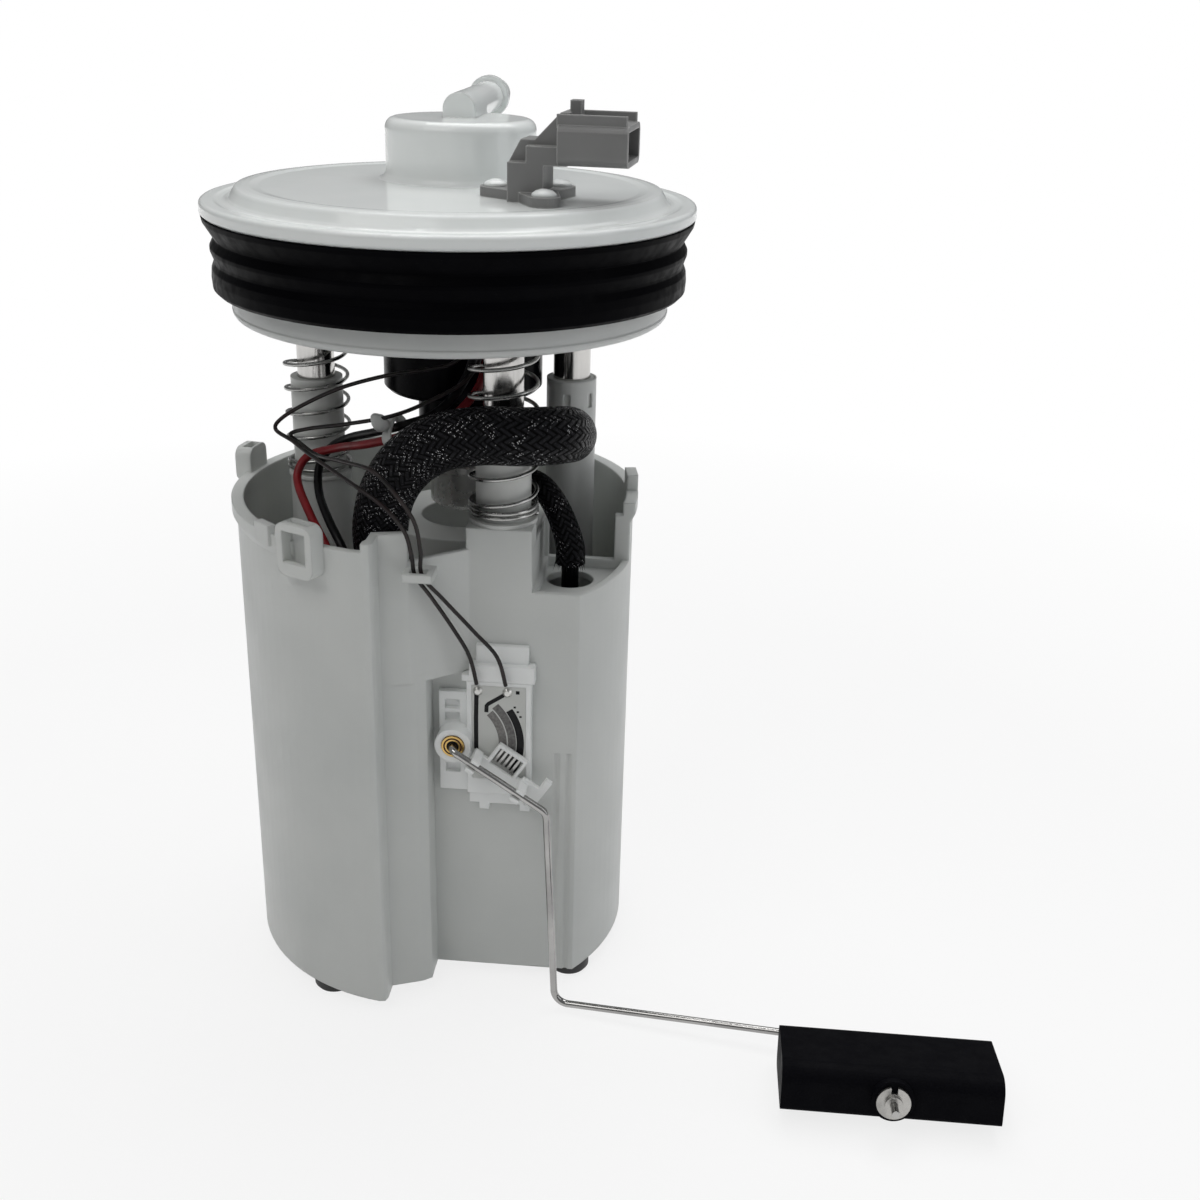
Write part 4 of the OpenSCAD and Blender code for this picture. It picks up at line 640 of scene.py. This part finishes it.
area("key", (-0.35, -0.55, 0.95), (0, 0, 0.15), 0.7, 0.5, 2.6, (1, 0.99, 0.97))
area("top", (0.1, 0.35, 1.0), (0, 0, 0.2), 0.9, 0.6, 5.3)
area("strip", (-0.12, -0.05, 1.0), (0, 0, 0.24), 0.42, 0.016, 0.44)
area("side", (0.95, -0.25, 0.5), (0, 0, 0.12), 0.4, 0.8, 1.3, (0.96, 0.98, 1))


def sees_backdrop(tree, kinds):
    """1 for camera rays and the other kinds named: what sees the plain backdrop."""
    path = tree.nodes.new("ShaderNodeLightPath")
    last = path.outputs["Is Camera Ray"]
    for kind in kinds:
        n = tree.nodes.new("ShaderNodeMath")
        n.operation = "MAXIMUM"
        tree.links.new(last, n.inputs[0])
        tree.links.new(path.outputs[kind], n.inputs[1])
        last = n.outputs[0]
    return last


def studio_world():
    """White to the camera, and a soft grey that is lighter overhead to everything else."""
    world = bpy.data.worlds.new("studio")
    scene.world = world
    world.use_nodes = True
    tree = world.node_tree
    tree.nodes.clear()
    link = tree.links.new
    out = tree.nodes.new("ShaderNodeOutputWorld")
    seen = tree.nodes.new("ShaderNodeBackground")
    seen.inputs["Color"].default_value = (1, 1, 1, 1)
    seen.inputs["Strength"].default_value = 1.0
    lit = tree.nodes.new("ShaderNodeBackground")
    lit.inputs["Strength"].default_value = 0.32
    sep = tree.nodes.new("ShaderNodeSeparateXYZ")
    link(tree.nodes.new("ShaderNodeTexCoord").outputs["Generated"], sep.inputs[0])
    half = tree.nodes.new("ShaderNodeMath")
    half.operation = "MULTIPLY_ADD"
    half.inputs[1].default_value = 0.5
    half.inputs[2].default_value = 0.5
    ramp = tree.nodes.new("ShaderNodeValToRGB")
    low, high = ramp.color_ramp.elements
    low.position, low.color = 0.30, (0.30, 0.30, 0.31, 1)
    high.position, high.color = 0.85, (0.78, 0.79, 0.80, 1)
    link(sep.outputs[2], half.inputs[0])
    link(half.outputs[0], ramp.inputs[0])
    link(ramp.outputs[0], lit.inputs["Color"])
    mixer = tree.nodes.new("ShaderNodeMixShader")
    link(sees_backdrop(tree, ("Is Transmission Ray",)), mixer.inputs[0])
    link(lit.outputs[0], mixer.inputs[1])
    link(seen.outputs[0], mixer.inputs[2])
    link(mixer.outputs[0], out.inputs["Surface"])


def studio_floor():
    half = 3
    me = bpy.data.meshes.new("floor")
    me.from_pydata([(-half, -half, 0), (half, -half, 0), (half, half, 0), (-half, half, 0)], [], [(0, 1, 2, 3)])
    floor = bpy.data.objects.new("floor", me)
    scene.collection.objects.link(floor)
    m = Mat("floor")
    m.color(m.mix(m.remap(m.noise(3, 3), 0, 1), (0.86, 0.86, 0.86), (0.90, 0.90, 0.90)))
    m.set(Roughness=0.8)
    glow = m.node("ShaderNodeEmission")
    glow.inputs["Strength"].default_value = 1.0
    # The shadow shows near the object, and the floor turns into the plain white backdrop away from it
    away = m.node("ShaderNodeVectorMath", operation="LENGTH")
    m.link(m.c, away.inputs[0])
    fade = m.remap(away.outputs["Value"], 0.80, 1.0, lo=0.28, hi=0.6)
    share = m.math("MULTIPLY", sees_backdrop(m.t, ("Is Glossy Ray", "Is Transmission Ray")), fade)
    mixer = m.node("ShaderNodeMixShader")
    m.link(share, mixer.inputs[0])
    m.link(m.b.outputs[0], mixer.inputs[1])
    m.link(glow.outputs[0], mixer.inputs[2])
    m.link(mixer.outputs[0], m.t.nodes["Material Output"].inputs["Surface"])
    floor.data.materials.append(m.m)


studio_world()
studio_floor()

scene.view_settings.view_transform = "Standard"
